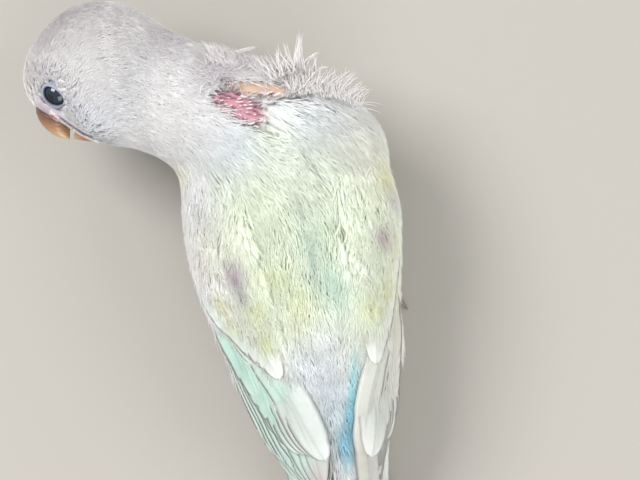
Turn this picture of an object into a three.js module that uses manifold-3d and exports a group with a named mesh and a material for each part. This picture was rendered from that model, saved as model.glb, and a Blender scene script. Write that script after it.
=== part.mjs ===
// A young, pale peach-faced lovebird at life size, crouching on its belly, its neck bent round to its left
// Millimetres. +Y runs from tail to shoulders, +X is the bird's right, +Z is up, and z = 0 is the floor.
// Head, neck and torso are rounded shapes that melt into each other, meshed whole and parted by thin cuts.
// The flight and tail feathers are vanes laid in tiers on that body.
import * as THREE from "three";
import { mergeVertices } from "three/addons/utils/BufferGeometryUtils.js";
import Module from "manifold-3d";

const wasm = await Module();
wasm.setup();
const { lerp, clamp, smoothstep, degToRad } = THREE.MathUtils;
const v3 = (x, y, z) => new THREE.Vector3(x, y, z);

// Driving sizes
const GAP = 0.3; // between parts that touch
const CHEST_HALF_WIDTH = 16.8;
const BACK_HEIGHT = 41;
const REAR_SHIFT = 1.8; // how far the rump and tail swing to the bird's right
const NECK_RADIUS = 12.4;
const HEAD_CENTRE = v3(-36.3, 45.2, 26.9);
const HEAD_FORWARD = v3(-0.74, -0.63, -0.24).normalize();
const HEAD_LEFT_HINT = v3(-0.28, -0.03, 0.96);
const HEAD_HALF_WIDTH = 11.3;
const EYE_PLACE = v3(6.4, 8.5, 0.7); // forward, left and up from the head's centre
const EYE_RADIUS = 3.2;
const EYE_DEPTH = 3; // from the feathers' surface down to the eyeball's centre
const LID_THICKNESS = 0.5;
const LID_OPENING = [2.15, 1.85]; // half length and half height
const BILL_HALF_WIDTH = 3.9;
const CERE_PLACE = v3(9.2, 2.3, 1.2);
const CERE_RADIUS = 2.6;
const NOSTRIL_PLACE = v3(10.3, 4.1, -0.4);
const NOSTRIL_RADIUS = 0.75;
const VANE_THICKNESS = 0.62;
const VANE_TILT = 0.3; // rise for each mm outward, so that each vane lies over the next one out
const SECONDARIES = 5;
const PRIMARIES = 4;
// Where each tier starts and ends along the line of a secondary or a primary: the feather, then its coverts
const SECONDARY_TIERS = [[0.16, 1], [0, 0.48], [-0.22, 0.2]];
const PRIMARY_TIERS = [[0.1, 1], [0.02, 0.42]];
const WING_SPREAD = { left: 1.06, right: 0.9 }; // the left wing lies a little open
const PRIMARY_TIPS = { left: [6, 12], right: [3.5, 2.5] }; // inner and outer, round from the midline
const TAIL_PAIRS = 6;
const TAIL_TIP = -88;
const TUFT_LOCKS = 9;
const TARSUS_RADIUS = 1.7;
const CLAW_LENGTH = 3.2;
const BODY_CELL = 4.6;
const HEAD_CELL = 2.9;

// The head's own frame: x forward, y left, z up
const HEAD_UP = v3().crossVectors(HEAD_FORWARD, HEAD_LEFT_HINT).normalize();
const HEAD_LEFT = v3().crossVectors(HEAD_UP, HEAD_FORWARD);
const HEAD = new THREE.Matrix4().makeBasis(HEAD_FORWARD, HEAD_LEFT, HEAD_UP).setPosition(HEAD_CENTRE);
const TO_HEAD = HEAD.clone().invert();
const inHead = (forward, left, up) => v3(forward, left, up).applyMatrix4(HEAD);

// Rounded shapes as distance functions, less than zero inside
const ellipsoid = (centre, radii) => (p) => {
  const q = p.clone().sub(centre);
  const k0 = q.clone().divide(radii).length();
  const k1 = q.divide(radii).divide(radii).length();
  return k1 > 0 ? (k0 * (k0 - 1)) / k1 : -Math.min(radii.x, radii.y, radii.z);
};
const roundCone = (a, b, ra, rb) => {
  const axis = b.clone().sub(a);
  return (p) => {
    const t = clamp(p.clone().sub(a).dot(axis) / axis.lengthSq(), 0, 1);
    return p.distanceTo(a.clone().addScaledVector(axis, t)) - lerp(ra, rb, t);
  };
};
const melt = (blend, ...shapes) => (p) =>
  shapes.map((shape) => shape(p)).reduce((a, b) => {
    const h = Math.max(blend - Math.abs(a - b), 0) / blend;
    return Math.min(a, b) - (h * h * blend) / 4;
  });
const inFrame = (toLocal, shape) => (p) => shape(p.clone().applyMatrix4(toLocal));
const grown = (shape, by) => (p) => shape(p) - by;

// The bird's form, with its small feathers
const chest = ellipsoid(v3(0, 12, BACK_HEIGHT / 2 - 0.5), v3(CHEST_HALF_WIDTH, 24, BACK_HEIGHT / 2 + 0.3));
const shoulders = ellipsoid(v3(2.6, 20.4, 25), v3(CHEST_HALF_WIDTH + 1.6, 13.9, 13));
const back = ellipsoid(v3(0, -12, 18), v3(CHEST_HALF_WIDTH - 0.6, 28, 19));
const rump = ellipsoid(v3(0.7 * REAR_SHIFT, -33, 15), v3(9.5, 20, 9));
const tailCoverts = ellipsoid(v3(REAR_SHIFT, -47, 10.5), v3(6.6, 17, 4.2));
const neck = roundCone(v3(-3, 26, 26), v3(-27, 42, 27), NECK_RADIUS + 0.4, NECK_RADIUS - 0.6);
const skull = inFrame(
  TO_HEAD,
  melt(
    5,
    ellipsoid(v3(-2.2, 0, 1.8), v3(11.8, HEAD_HALF_WIDTH, 12.4)),
    ellipsoid(v3(4.6, 0, 4.2), v3(7.4, 0.64 * HEAD_HALF_WIDTH, 6.6)),
    ellipsoid(v3(2, 0, -5.3), v3(7.9, 0.78 * HEAD_HALF_WIDTH, 7.7)),
  ),
);
const torsoForm = melt(6, melt(7, chest, back, rump, shoulders), tailCoverts);
const wholeForm = melt(8, melt(9, torsoForm, neck), skull);

// The closed surface where a form is zero: a grid of cubes, with one point in each cube that it crosses
const CORNERS = [0, 1, 2, 3, 4, 5, 6, 7].map((c) => [c & 1, (c >> 1) & 1, c >> 2]);
const EDGES = CORNERS.flatMap((_, m) => CORNERS.map((__, o) => [m, o]))
  .filter(([m, o]) => m < o && [1, 2, 4].includes(m ^ o));
const AXES = [[1, 0, 0], [0, 1, 0], [0, 0, 1]];

function eachCube(n, visit) {
  for (let k = 0; k < n.z - 1; k += 1)
    for (let j = 0; j < n.y - 1; j += 1)
      for (let i = 0; i < n.x - 1; i += 1)
        visit(i, j, k);
}

function solidOfForm(form, low, high, cell) {
  const n = high.clone().sub(low).divideScalar(cell).ceil().addScalar(1);
  const at = (i, j, k) => i + n.x * (j + n.y * k);
  const onRim = (i, j, k) => Math.min(i, j, k) === 0 || i === n.x - 1 || j === n.y - 1 || k === n.z - 1;
  const values = new Float64Array(n.x * n.y * n.z).fill(cell);
  eachCube(n, (i, j, k) => {
    if (!onRim(i, j, k)) values[at(i, j, k)] = form(v3(i, j, k).multiplyScalar(cell).add(low));
  });
  const points = [];
  const pointOf = new Map();
  eachCube(n, (i, j, k) => {
    const here = CORNERS.map(([a, b, c]) => values[at(i + a, j + b, k + c)]);
    if (here.every((d) => d < 0) || here.every((d) => d >= 0)) return;
    const crossings = EDGES.filter(([m, o]) => here[m] < 0 !== here[o] < 0)
      .map(([m, o]) => v3(...CORNERS[m]).lerp(v3(...CORNERS[o]), here[m] / (here[m] - here[o])));
    const mean = crossings.reduce((sum, p) => sum.add(p), v3()).divideScalar(crossings.length);
    const point = mean.add(v3(i, j, k)).multiplyScalar(cell).add(low);
    const atCut = onRim(i, j, k) || onRim(i + 1, j + 1, k + 1);
    pointOf.set(at(i, j, k), points.length);
    points.push(atCut ? point : ontoForm(form, point));
  });
  const triangles = [];
  eachCube(n, (i, j, k) => {
    AXES.forEach((step, axis) => {
      const from = values[at(i, j, k)];
      const to = values[at(i + step[0], j + step[1], k + step[2])];
      if (from < 0 === to < 0) return;
      const [u, w] = [AXES[(axis + 1) % 3], AXES[(axis + 2) % 3]];
      const ring = [[0, 0], [1, 0], [1, 1], [0, 1]].map(([s, t]) =>
        pointOf.get(at(i - s * u[0] - t * w[0], j - s * u[1] - t * w[1], k - s * u[2] - t * w[2])));
      const [p, q, r, s] = from < 0 ? ring : ring.reverse();
      triangles.push([p, q, r], [p, r, s]);
    });
  });
  return closedSolid(points, triangles);
}

function slopeOf(form, p) {
  const e = 0.02;
  const along = (x, y, z) => (form(p.clone().add(v3(x, y, z))) - form(p.clone().sub(v3(x, y, z)))) / (2 * e);
  return v3(along(e, 0, 0), along(0, e, 0), along(0, 0, e));
}

function ontoForm(form, start) {
  const p = start.clone();
  for (let i = 0; i < 3; i += 1) {
    const slope = slopeOf(form, p);
    p.addScaledVector(slope, -form(p) / Math.max(slope.lengthSq(), 0.2));
  }
  return p;
}

// Closed solids, joins and cuts
function closedSolid(points, triangles) {
  const volume = triangles.reduce(
    (sum, [a, b, c]) => sum + points[a].dot(v3().crossVectors(points[b], points[c])),
    0,
  );
  return new wasm.Manifold(new wasm.Mesh({
    numProp: 3,
    vertProperties: new Float32Array(points.flatMap((p) => p.toArray())),
    triVerts: new Uint32Array(triangles.flatMap(([a, b, c]) => (volume > 0 ? [a, b, c] : [a, c, b]))),
  }));
}

function solidOf(geometry) {
  const bare = geometry.clone();
  for (const name of ["normal", "uv"]) bare.deleteAttribute(name);
  const merged = mergeVertices(bare, 1e-4);
  return new wasm.Manifold(new wasm.Mesh({
    numProp: 3,
    vertProperties: new Float32Array(merged.attributes.position.array),
    triVerts: new Uint32Array(merged.index.array),
  }));
}

const joined = (solids) => solids.reduce((a, b) => a.add(b));
const largest = (solid) => solid.decompose().sort((a, b) => b.volume() - a.volume())[0];

function sphere(centre, radius, across) {
  const ball = new THREE.SphereGeometry(radius, across, Math.round(0.6 * across));
  ball.rotateX(Math.PI / 2);
  ball.applyMatrix4(HEAD.clone().setPosition(centre));
  return solidOf(ball);
}

// Everything further than start along a direction from a point
function beyond(point, direction, start = 0) {
  const size = 400;
  const box = new THREE.BoxGeometry(size, size, size);
  box.translate(0, 0, size / 2 + start);
  box.applyQuaternion(new THREE.Quaternion().setFromUnitVectors(v3(0, 0, 1), direction));
  box.translate(point.x, point.y, point.z);
  return solidOf(box);
}

// Rings of as many points each, joined into a closed body. Rings that lie flat split alike above and below
function loft(rings, flipFrom = Infinity) {
  const count = rings[0].length;
  const triangles = [];
  for (let i = 0; i < rings.length - 1; i += 1)
    for (let a = 0; a < count; a += 1) {
      const [p, q] = [i * count + a, i * count + ((a + 1) % count)];
      if (a >= flipFrom) triangles.push([p, q, p + count], [q, q + count, p + count]);
      else triangles.push([p, q, q + count], [p, q + count, p + count]);
    }
  const end = (rings.length - 1) * count;
  for (let a = 1; a < count - 1; a += 1) triangles.push([0, a + 1, a], [end, end + a, end + a + 1]);
  return closedSolid(rings.flat(), triangles);
}

// A vane: a thin tapered plate with its shaft as a ridge. place(s, across, up) gives its points,
// with s from root to tip and across from -1 to 1 times its width there
const VANE_STATIONS = [0, 0.42, 0.76, 0.92, 1];
const VANE_RING = [[-1, 0], [-1, 0.85], [0, 1.2], [1, 0.85], [1, 0], [0, 0]];
const tipRound = (s) => Math.sqrt(1 - (Math.max(0, s - 0.6) / 0.41) ** 2);
const vaneWidth = (s) => lerp(0.62, 1, smoothstep(s, 0, 0.5)) * tipRound(s);
function vane(place, stations = VANE_STATIONS) {
  const rings = stations.map((s) =>
    VANE_RING.map(([across, up]) => place(s, across * vaneWidth(s), up * VANE_THICKNESS)));
  return loft(rings, 3);
}

// The form that the folded wings are laid on: torso and padded arms, drawn out over the tail
// The arm's own pad, from elbow to wing bend; the more open wing's is longer and stands further out
const arm = (side, opened) => melt(
  5,
  ellipsoid(v3(side * 5 - 0.7, 6, 24), v3(14.4, 20, 14)),
  ellipsoid(v3(side * (15.4 + 1.3 * opened) - 0.7, 15 - 5 * opened, 23), v3(5, 14 + 5 * opened, 11)),
);
const leftArm = arm(-1, 1);
const rightArm = arm(1, 0);
const wingBed = ellipsoid(v3(-1.6, -13, 16.5), v3(17.6, 33, 12));
const tailCover = ellipsoid(v3(-3.2, -54, 8), v3(11, 30, 4));
const slimArms = grown(melt(1, leftArm, rightArm), -1);
const guideForm = melt(9, melt(6, melt(4, torsoForm, wingBed), tailCover), slimArms);
const axisHeight = (y) => lerp(19, 7, smoothstep(-y, 5, 72));
const midline = (y) => REAR_SHIFT * smoothstep(-y, 0, 40);

// The point at a height over the guide form, at an angle from its top towards one side
function overGuide(side, y, angle, height) {
  const centre = v3(midline(y), y, axisHeight(y));
  const out = v3(side * Math.sin(angle), 0, Math.cos(angle));
  let [near, far] = [0, 45];
  for (let i = 0; i < 22; i += 1) {
    const mid = (near + far) / 2;
    if (guideForm(centre.clone().addScaledVector(out, mid)) < height) near = mid;
    else far = mid;
  }
  return centre.addScaledVector(out, near);
}

// The angle that lies a distance round the guide form from its midline, read from one table for each mm of y
const ANGLE_STEP = 0.13;
const arcTables = new Map();
function arcTable(side, y) {
  const key = `${side},${y}`;
  if (!arcTables.has(key)) {
    const points = Array.from({ length: 22 }, (_, i) => overGuide(side, y, i * ANGLE_STEP, 0));
    const lengths = [0];
    for (let i = 1; i < points.length; i += 1)
      lengths.push(lengths[i - 1] + points[i].distanceTo(points[i - 1]));
    arcTables.set(key, lengths);
  }
  return arcTables.get(key);
}
function angleIn(lengths, round) {
  const found = lengths.findIndex((length) => length > round);
  const i = clamp(found < 0 ? lengths.length - 1 : found, 1, lengths.length - 1);
  return ANGLE_STEP * (i - 1 + (round - lengths[i - 1]) / (lengths[i] - lengths[i - 1]));
}
function angleAt(side, y, round) {
  const below = Math.floor(y);
  return lerp(angleIn(arcTable(side, below), round), angleIn(arcTable(side, below + 1), round), y - below);
}

// A vane laid along a path from root to tip, each given as [y, distance round the body from its midline].
// With swing 1 the path bends in early and ends in line with the tail
function laidVane(side, [root, tip], halfWidth, lift, { from = 0, to = 1, swing = 0, stations } = {}) {
  const roundAt = (t) => lerp(root[1], tip[1], lerp(t, smoothstep(t, 0, 0.9), swing));
  return vane((s, across, up) => {
    const t = lerp(from, to, s);
    const slope = (roundAt(t + 0.05) - roundAt(t - 0.05)) / 0.1;
    const along = new THREE.Vector2(tip[0] - root[0], slope).normalize();
    const offset = across * halfWidth;
    const y = lerp(root[0], tip[0], t) + offset * along.y;
    const round = roundAt(t) - offset * along.x;
    return overGuide(side, y, angleAt(side, y, round), lift(s) + VANE_TILT * offset + up);
  }, stations);
}

// One wing: a padded arm, then tiers of coverts over secondaries over primaries, all rooted in the arm
function wing(side, spread, primaryTips) {
  const out = (inner, outer, t) => inner + spread * (outer - inner) * t;
  const low = v3(Math.min(0, side * 27), -20, 5);
  const high = v3(Math.max(0, side * 27), 34, 44);
  const pieces = [solidOfForm(side < 0 ? leftArm : rightArm, low, high, BODY_CELL)];
  const shingled = (s) => lerp(-1, 1.9, smoothstep(s, 0, 1));
  for (let j = 0; j < SECONDARIES; j += 1) {
    const t = j / (SECONDARIES - 1);
    const line = [[lerp(-4, 10, t), out(16, 27, t)], [lerp(-41.5, -24, t ** 1.8), out(4.2, 17.5, t)]];
    for (const [from, to] of SECONDARY_TIERS)
      pieces.push(laidVane(side, line, lerp(4.2, 3.7, t), shingled, { from, to }));
  }
  const under = (s) => lerp(-1, 0.9, smoothstep(s, 0, 0.5));
  const stations = [0, 0.24, 0.48, 0.72, 0.92, 1];
  for (let k = 0; k < PRIMARIES; k += 1) {
    const t = k / (PRIMARIES - 1);
    const line = [[lerp(2, 12, t), out(22, 32, t)], [lerp(-47, -63, t ** 0.8), lerp(...primaryTips, t)]];
    for (const [from, to] of PRIMARY_TIERS)
      pieces.push(laidVane(side, line, 3.1, to < 1 ? shingled : under, { from, to, swing: 1, stations }));
  }
  return joined(pieces);
}

// The tail: a stack of feathers fanned from the rump, the middle pair on top, under a few long coverts
function tailFeather(side, step, root, tip, halfWidth, drop) {
  return vane((s, across, up) => {
    const y = lerp(root, tip, s);
    const x = side * lerp(0.9 + 0.6 * step, 1.2 + 1.15 * step, s) + across * halfWidth * lerp(0.7, 1, s);
    const height = lerp(9.8, 4.6, smoothstep(-y, 40, 92)) - drop - (x * x) / 70;
    return v3(REAR_SHIFT + x, y, height + up);
  });
}
function tail() {
  const pieces = [];
  for (const side of [-1, 1])
    for (let i = 0; i < TAIL_PAIRS; i += 1)
      pieces.push(tailFeather(side, i, -46, TAIL_TIP + 0.5 * i * i, 3.7, 0.42 * i + (side > 0 ? 0.2 : 0)));
  for (const [x, tip] of [[0, -66], [-1.4, -62], [1.4, -61]])
    pieces.push(tailFeather(1, x, -44, tip, 3.2, -0.8));
  return joined(pieces);
}

// The bill's halves, each lofted between its upper and its lower edge as seen from the side
const sideLine = (...points) => new THREE.SplineCurve(points.map(([x, y]) => new THREE.Vector2(x, y)));
const CULMEN = sideLine([8.4, 5.0], [11.6, 5.2], [13.7, 3.4], [14.5, 0.8], [14.4, -2.0], [13.4, -4.6]);
const UPPER_EDGE = sideLine([7.2, -2.9], [9.0, -3.1], [10.4, -3.2], [11.4, -3.5], [12.2, -4.0], [13.0, -4.8]);
const LOWER_EDGE = sideLine([6.0, -4.5], [8.4, -4.5], [10.3, -4.9], [11.7, -5.6]);
const CHIN_LINE = sideLine([4.4, -10.6], [7.4, -10.8], [10.2, -9.0], [11.9, -6.2]);
function billHalf(upper, lower, widthAt, grow) {
  const stations = [0, 0.14, 0.3, 0.46, 0.62, 0.78, 0.9, 1];
  const rings = stations.map((t) => {
    const [top, bottom] = [upper.getPoint(t), lower.getPoint(t)];
    const middle = top.clone().add(bottom).divideScalar(2);
    const half = top.clone().sub(bottom).divideScalar(2);
    half.setLength(half.length() + grow);
    return Array.from({ length: 12 }, (_, i) => {
      const angle = (2 * Math.PI * i) / 12;
      const point = middle.clone().addScaledVector(half, Math.cos(angle));
      return inHead(point.x, (widthAt(t) + grow) * Math.sin(angle), point.y);
    });
  });
  return loft(rings);
}
const upperBill = (grow = 0) => billHalf(
  CULMEN, UPPER_EDGE, (t) => BILL_HALF_WIDTH * (1 - t ** 2.2) ** 0.75 + 0.16, grow);
const lowerBill = (grow = 0) => billHalf(
  LOWER_EDGE, CHIN_LINE, (t) => 0.86 * BILL_HALF_WIDTH * (1 - 0.5 * t ** 2), grow);
const mouth = () => billHalf(UPPER_EDGE, LOWER_EDGE, (t) => BILL_HALF_WIDTH * (1 - 0.4 * t), GAP);

// The head's lids, cere and nostrils
const pairedPlace = ({ x, y, z }, side) => inHead(x, side * y, z);
const eyes = [1, -1].map((side) => {
  const onSkin = ontoForm(wholeForm, pairedPlace(EYE_PLACE, side));
  const out = slopeOf(wholeForm, onSkin).normalize();
  return { side, out, centre: onSkin.addScaledVector(out, -EYE_DEPTH) };
});

function lidOpening({ out, centre }) {
  const reach = 8;
  const hole = new THREE.CylinderGeometry(1, 1, reach, 18);
  hole.scale(LID_OPENING[0], 1, LID_OPENING[1]);
  hole.translate(0, reach / 2, 0);
  const forward = HEAD_FORWARD.clone().projectOnPlane(out).normalize();
  hole.applyMatrix4(new THREE.Matrix4().makeBasis(forward, out, v3().crossVectors(forward, out)));
  hole.translate(centre.x, centre.y, centre.z);
  return solidOf(hole);
}

function withFace(head) {
  let face = head;
  for (const side of [1, -1]) face = face.add(sphere(pairedPlace(CERE_PLACE, side), CERE_RADIUS, 12));
  for (const eye of eyes) face = face.add(sphere(eye.centre, EYE_RADIUS + GAP + LID_THICKNESS, 18));
  for (const eye of eyes) {
    face = face.subtract(sphere(eye.centre, EYE_RADIUS + GAP, 14));
    face = face.subtract(lidOpening(eye));
  }
  for (const side of [1, -1]) face = face.subtract(sphere(pairedPlace(NOSTRIL_PLACE, side), NOSTRIL_RADIUS, 10));
  return face.subtract(upperBill(GAP)).subtract(lowerBill(GAP)).subtract(mouth());
}

// The tuft of ruffled feathers at the right shoulder: soft flat locks that lie forward on the torso, overlap
// and lift off its edge, one of them longer
function tuft() {
  const locks = [];
  for (let i = 0; i < TUFT_LOCKS; i += 1) {
    const t = i / (TUFT_LOCKS - 1);
    const turn = lerp(0.4, -0.5, t) + 0.12 * Math.sin(5 * i);
    const bend = 0.35 * Math.sin(2.9 * i + 0.4);
    const long = Math.exp(-(((t - 0.42) / 0.09) ** 2));
    const length = 12.4 + 1.3 * Math.sin(4.3 * i + 0.6) + 5.4 * long;
    const root = ontoForm(torsoForm, v3(lerp(0.5, 12, t), lerp(27.5, 26, t) + Math.sin(2.4 * i), 40));
    const rings = [0, 0.3, 0.58, 0.8, 0.93, 1].map((s) => {
      const heading = turn + bend * s;
      const ahead = v3(-Math.sin(heading), Math.cos(heading), 0);
      const across = v3(ahead.y, -ahead.x, 0);
      const reach = root.clone().addScaledVector(ahead, s * length);
      const sag = length * (0.12 * s + 0.3 * s * s);
      const centre = reach.setZ(root.z - sag + lerp(-1.2, 0.9, smoothstep(s, 0, 0.3)));
      const width = lerp(0.3, 3.1, Math.sqrt(1 - s ** 2.6));
      const thick = lerp(1, 0.3, s);
      return [[-1, 0], [-0.4, 0.9], [0.5, 1], [1, 0], [0, -1]].map(([a, b]) =>
        centre.clone().addScaledVector(across, a * width).add(v3(0, 0, b * thick)));
    });
    locks.push(loft(rings));
  }
  return joined(locks);
}

// A leg: the tarsus folded down along the floor, and four toes with claws, two ahead and two behind
const TOES = [[4, 9.5], [27, 12.5], [150, 11], [178, 7.5]]; // heading outward from straight ahead, and length
function toe(side, foot, heading, length) {
  const across = v3(side * Math.cos(degToRad(heading)), -Math.sin(degToRad(heading)), 0);
  const ahead = v3(side * Math.sin(degToRad(heading)), Math.cos(degToRad(heading)), 0);
  const stations = [[0, 1.6], [0.3, 1.3], [0.5, 1.5], [0.75, 1.2], [0.93, 1.3], [1, 0.85]];
  const spots = stations.map(([t, r]) => [t * length, r - 0.12, r]);
  spots.push([length + 0.5 * CLAW_LENGTH, 1.1, 0.55], [length + CLAW_LENGTH, 0.3, 0.14]);
  const rings = spots.map(([reach, height, radius]) =>
    Array.from({ length: 6 }, (_, i) => {
      const angle = (2 * Math.PI * i) / 6;
      return foot.clone().addScaledVector(ahead, reach).addScaledVector(across, radius * Math.cos(angle))
        .setZ(height + radius * Math.sin(angle));
    }));
  return loft(rings);
}

function leg(side) {
  const foot = v3(side * 13.2, -3, 0);
  const ankle = v3(side * 12.2, -15, 7);
  const sole = v3(foot.x, foot.y, 1.7);
  const tarsus = new THREE.CapsuleGeometry(TARSUS_RADIUS, sole.distanceTo(ankle), 3, 9);
  const upward = ankle.clone().sub(sole).normalize();
  tarsus.applyQuaternion(new THREE.Quaternion().setFromUnitVectors(v3(0, 1, 0), upward));
  tarsus.translate(...sole.clone().add(ankle).divideScalar(2).toArray());
  return joined([solidOf(tarsus), ...TOES.map(([heading, length]) => toe(side, foot, heading, length))]);
}

// The whole, parted
const NECK_BASE = v3(-12.5, 32.5, 26);
const NECK_TOP = v3(-24.5, 40.5, 27);
const baseAxis = NECK_TOP.clone().sub(NECK_BASE).normalize();
const topAxis = v3(-0.93, 0.3, -0.2).normalize();
const tailAxis = v3(0, -1, 0);
const TAIL_CUT = v3(0, -43, 0);
const aboveFloor = beyond(v3(0, 0, 0), v3(0, 0, 1));

const body = solidOfForm(wholeForm, v3(-30, -70, -4), v3(24, 48, 46), BODY_CELL).intersect(aboveFloor);
const tailBase = solidOfForm(wholeForm, v3(-10, -68, 0), v3(14, -36, 26), HEAD_CELL);
const foreBody = solidOfForm(wholeForm, v3(-56, 14, 4), v3(4, 66, 46), HEAD_CELL);
const bodyAndGap = solidOfForm(grown(wholeForm, GAP + 0.1), v3(-60, -74, -8), v3(30, 74, 54), BODY_CELL);
const tailPiece = largest(tailBase.intersect(beyond(TAIL_CUT, tailAxis, GAP / 2)).add(tail()));

const group = new THREE.Group();
function add(name, solid, color, roughness) {
  const { numProp, vertProperties, triVerts } = largest(solid).getMesh();
  const geometry = new THREE.BufferGeometry();
  const interleaved = new THREE.InterleavedBuffer(vertProperties, numProp);
  geometry.setAttribute("position", new THREE.InterleavedBufferAttribute(interleaved, 3, 0));
  geometry.setIndex([...triVerts]);
  const mesh = new THREE.Mesh(geometry, new THREE.MeshStandardMaterial({ color, roughness, metalness: 0 }));
  mesh.name = name;
  group.add(mesh);
}

const before = (point, axis) => beyond(point, axis, -GAP / 2);
const after = (point, axis) => beyond(point, axis, GAP / 2);
const torsoPiece = body.add(tuft()).subtract(before(NECK_BASE, baseAxis))
  .subtract(before(TAIL_CUT, tailAxis));
const neckPiece = foreBody.intersect(after(NECK_BASE, baseAxis)).subtract(before(NECK_TOP, topAxis));
const headPiece = foreBody.intersect(after(NECK_TOP, topAxis));
add("torso", torsoPiece, 0xe3ecd6, 0.85);
add("neck", neckPiece, 0xecebea, 0.85);
add("head", withFace(headPiece), 0xf1f0ee, 0.85);
add("tail", tailPiece, 0xe8e2dc, 0.6);
for (const [name, side] of [["left", -1], ["right", 1]]) {
  const cutWing = wing(side, WING_SPREAD[name], PRIMARY_TIPS[name]).subtract(bodyAndGap).subtract(tailPiece);
  add(`wing_${name}`, cutWing, 0xdfe9d8, 0.6);
  add(`leg_${name}`, leg(side).intersect(aboveFloor).subtract(bodyAndGap), 0xcbb3aa, 0.6);
}
for (const { side, centre } of eyes)
  add(side > 0 ? "eye_left" : "eye_right", sphere(centre, EYE_RADIUS, 14), 0x1c2430, 0.1);
add("bill_upper", upperBill(), 0xd9b27a, 0.35);
add("bill_lower", lowerBill(), 0xb9793f, 0.35);

export default group;
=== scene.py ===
# %% [markdown]
# A pale young lovebird, crouching with its neck bent round to its left, as a life-size museum model. The
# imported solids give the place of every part. This notebook dresses them: one skin under the plumage,
# small feathers laid over it by their lie, finer flight and tail feathers, and the bare parts of the head
# and feet. All lengths below are millimetres until a mesh is made, where one factor turns them to metres.

# %% Frame
import math
import bpy
import numpy as np
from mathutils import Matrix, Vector
from mathutils.bvhtree import BVHTree


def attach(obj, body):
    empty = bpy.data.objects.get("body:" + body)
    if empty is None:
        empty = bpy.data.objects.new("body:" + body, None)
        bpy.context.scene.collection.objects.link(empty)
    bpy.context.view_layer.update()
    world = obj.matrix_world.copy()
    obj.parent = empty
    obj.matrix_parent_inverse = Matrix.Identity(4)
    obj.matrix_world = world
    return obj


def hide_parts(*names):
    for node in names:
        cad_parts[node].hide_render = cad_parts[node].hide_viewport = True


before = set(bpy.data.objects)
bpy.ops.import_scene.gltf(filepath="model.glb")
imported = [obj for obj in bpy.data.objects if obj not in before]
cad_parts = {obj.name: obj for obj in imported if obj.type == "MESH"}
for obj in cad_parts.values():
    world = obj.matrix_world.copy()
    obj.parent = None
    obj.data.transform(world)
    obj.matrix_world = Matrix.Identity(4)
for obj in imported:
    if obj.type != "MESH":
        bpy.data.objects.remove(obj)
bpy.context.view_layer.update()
MM = 0.001

# %% [markdown]
# The camera looks straight down on the bird's back, as in the photograph, from 350 mm above it, with the
# body's axis turned a little in the frame. A real lens of about 100 mm gives that view, so near parts are
# not stretched.

# %% Camera
BACK_LEVEL = 36.0
CAMERA_RISE = 350.0
CAMERA_PLACE = (4.1, 3.3)
CAMERA_TURN = math.radians(-10.5)
FRAME_WIDTH = 128.0  # what 640 pixels span at the back's level
SENSOR = 36.0
camera_data = bpy.data.cameras.new("camera")
camera_data.sensor_width = SENSOR
camera_data.lens = SENSOR * CAMERA_RISE / FRAME_WIDTH
camera_data.clip_start = 0.01
camera = bpy.data.objects.new("camera", camera_data)
camera.location = Vector((*CAMERA_PLACE, BACK_LEVEL + CAMERA_RISE)) * MM
camera.rotation_euler = (0, 0, CAMERA_TURN)
bpy.context.scene.collection.objects.link(camera)
bpy.context.scene.camera = camera
print("lens", round(camera_data.lens, 1), "mm")

# %% [markdown]
# Rounded living forms melt into each other. A distance function describes such a form well: less than
# zero inside, more outside. Ellipsoids and one round cone make the body here, as they do in the solids.

# %% Distance functions
def row(*values):
    return np.array(values, float)


def length(v):
    return np.sqrt((v * v).sum(-1))


def unit(v):
    return v / np.maximum(length(v), 1e-9)[..., None]


def dot(a, b):
    return (a * b).sum(-1)[..., None]


def level(v, n):
    """The way v, turned to lie flat on a surface whose normal is n."""
    return unit(v - dot(v, n) * n)


def lerp(a, b, t):
    return a + (b - a) * t


def smoothstep(x, low, high):
    t = np.clip((x - low) / (high - low), 0, 1)
    return t * t * (3 - 2 * t)


def ellipsoid(centre, radii):
    c, r = row(*centre), row(*radii)

    def form(p):
        q = (p - c) / r
        k0, k1 = length(q), length(q / r)
        return k0 * (k0 - 1) / np.maximum(k1, 1e-6)
    return form


def round_cone(a, b, radius_a, radius_b):
    start, axis = row(*a), row(*b) - row(*a)

    def form(p):
        t = np.clip(((p - start) @ axis) / (axis @ axis), 0, 1)
        return length(p - start - t[..., None] * axis) - lerp(radius_a, radius_b, t)
    return form


def melt(blend, *forms):
    def form(p):
        d = forms[0](p)
        for other in forms[1:]:
            e = other(p)
            h = np.maximum(blend - np.abs(d - e), 0) / blend
            d = np.minimum(d, e) - h * h * blend / 4
        return d
    return form


def carve(blend, shape, tool):
    def form(p):
        d, e = shape(p), -tool(p)
        h = np.maximum(blend - np.abs(d - e), 0) / blend
        return np.maximum(d, e) + h * h * blend / 4
    return form


def grown(shape, by):
    return lambda p: shape(p) - by


def slope(form, p, e=0.05):
    steps = np.eye(3) * e
    return np.stack([form(p + s) - form(p - s) for s in steps], -1) / (2 * e)


def onto(form, p, height=0.0, rounds=3):
    for _ in range(rounds):
        g = slope(form, p)
        p = p - g * ((form(p) - height) / np.maximum((g * g).sum(-1), 0.2))[..., None]
    return p

# %% [markdown]
# The bird's own sizes. They are the driving sizes of the solids, so the looks fit without any shifting.
# Only the skull is shaped a little finer here, with a fuller brow and a rounder back.

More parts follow.
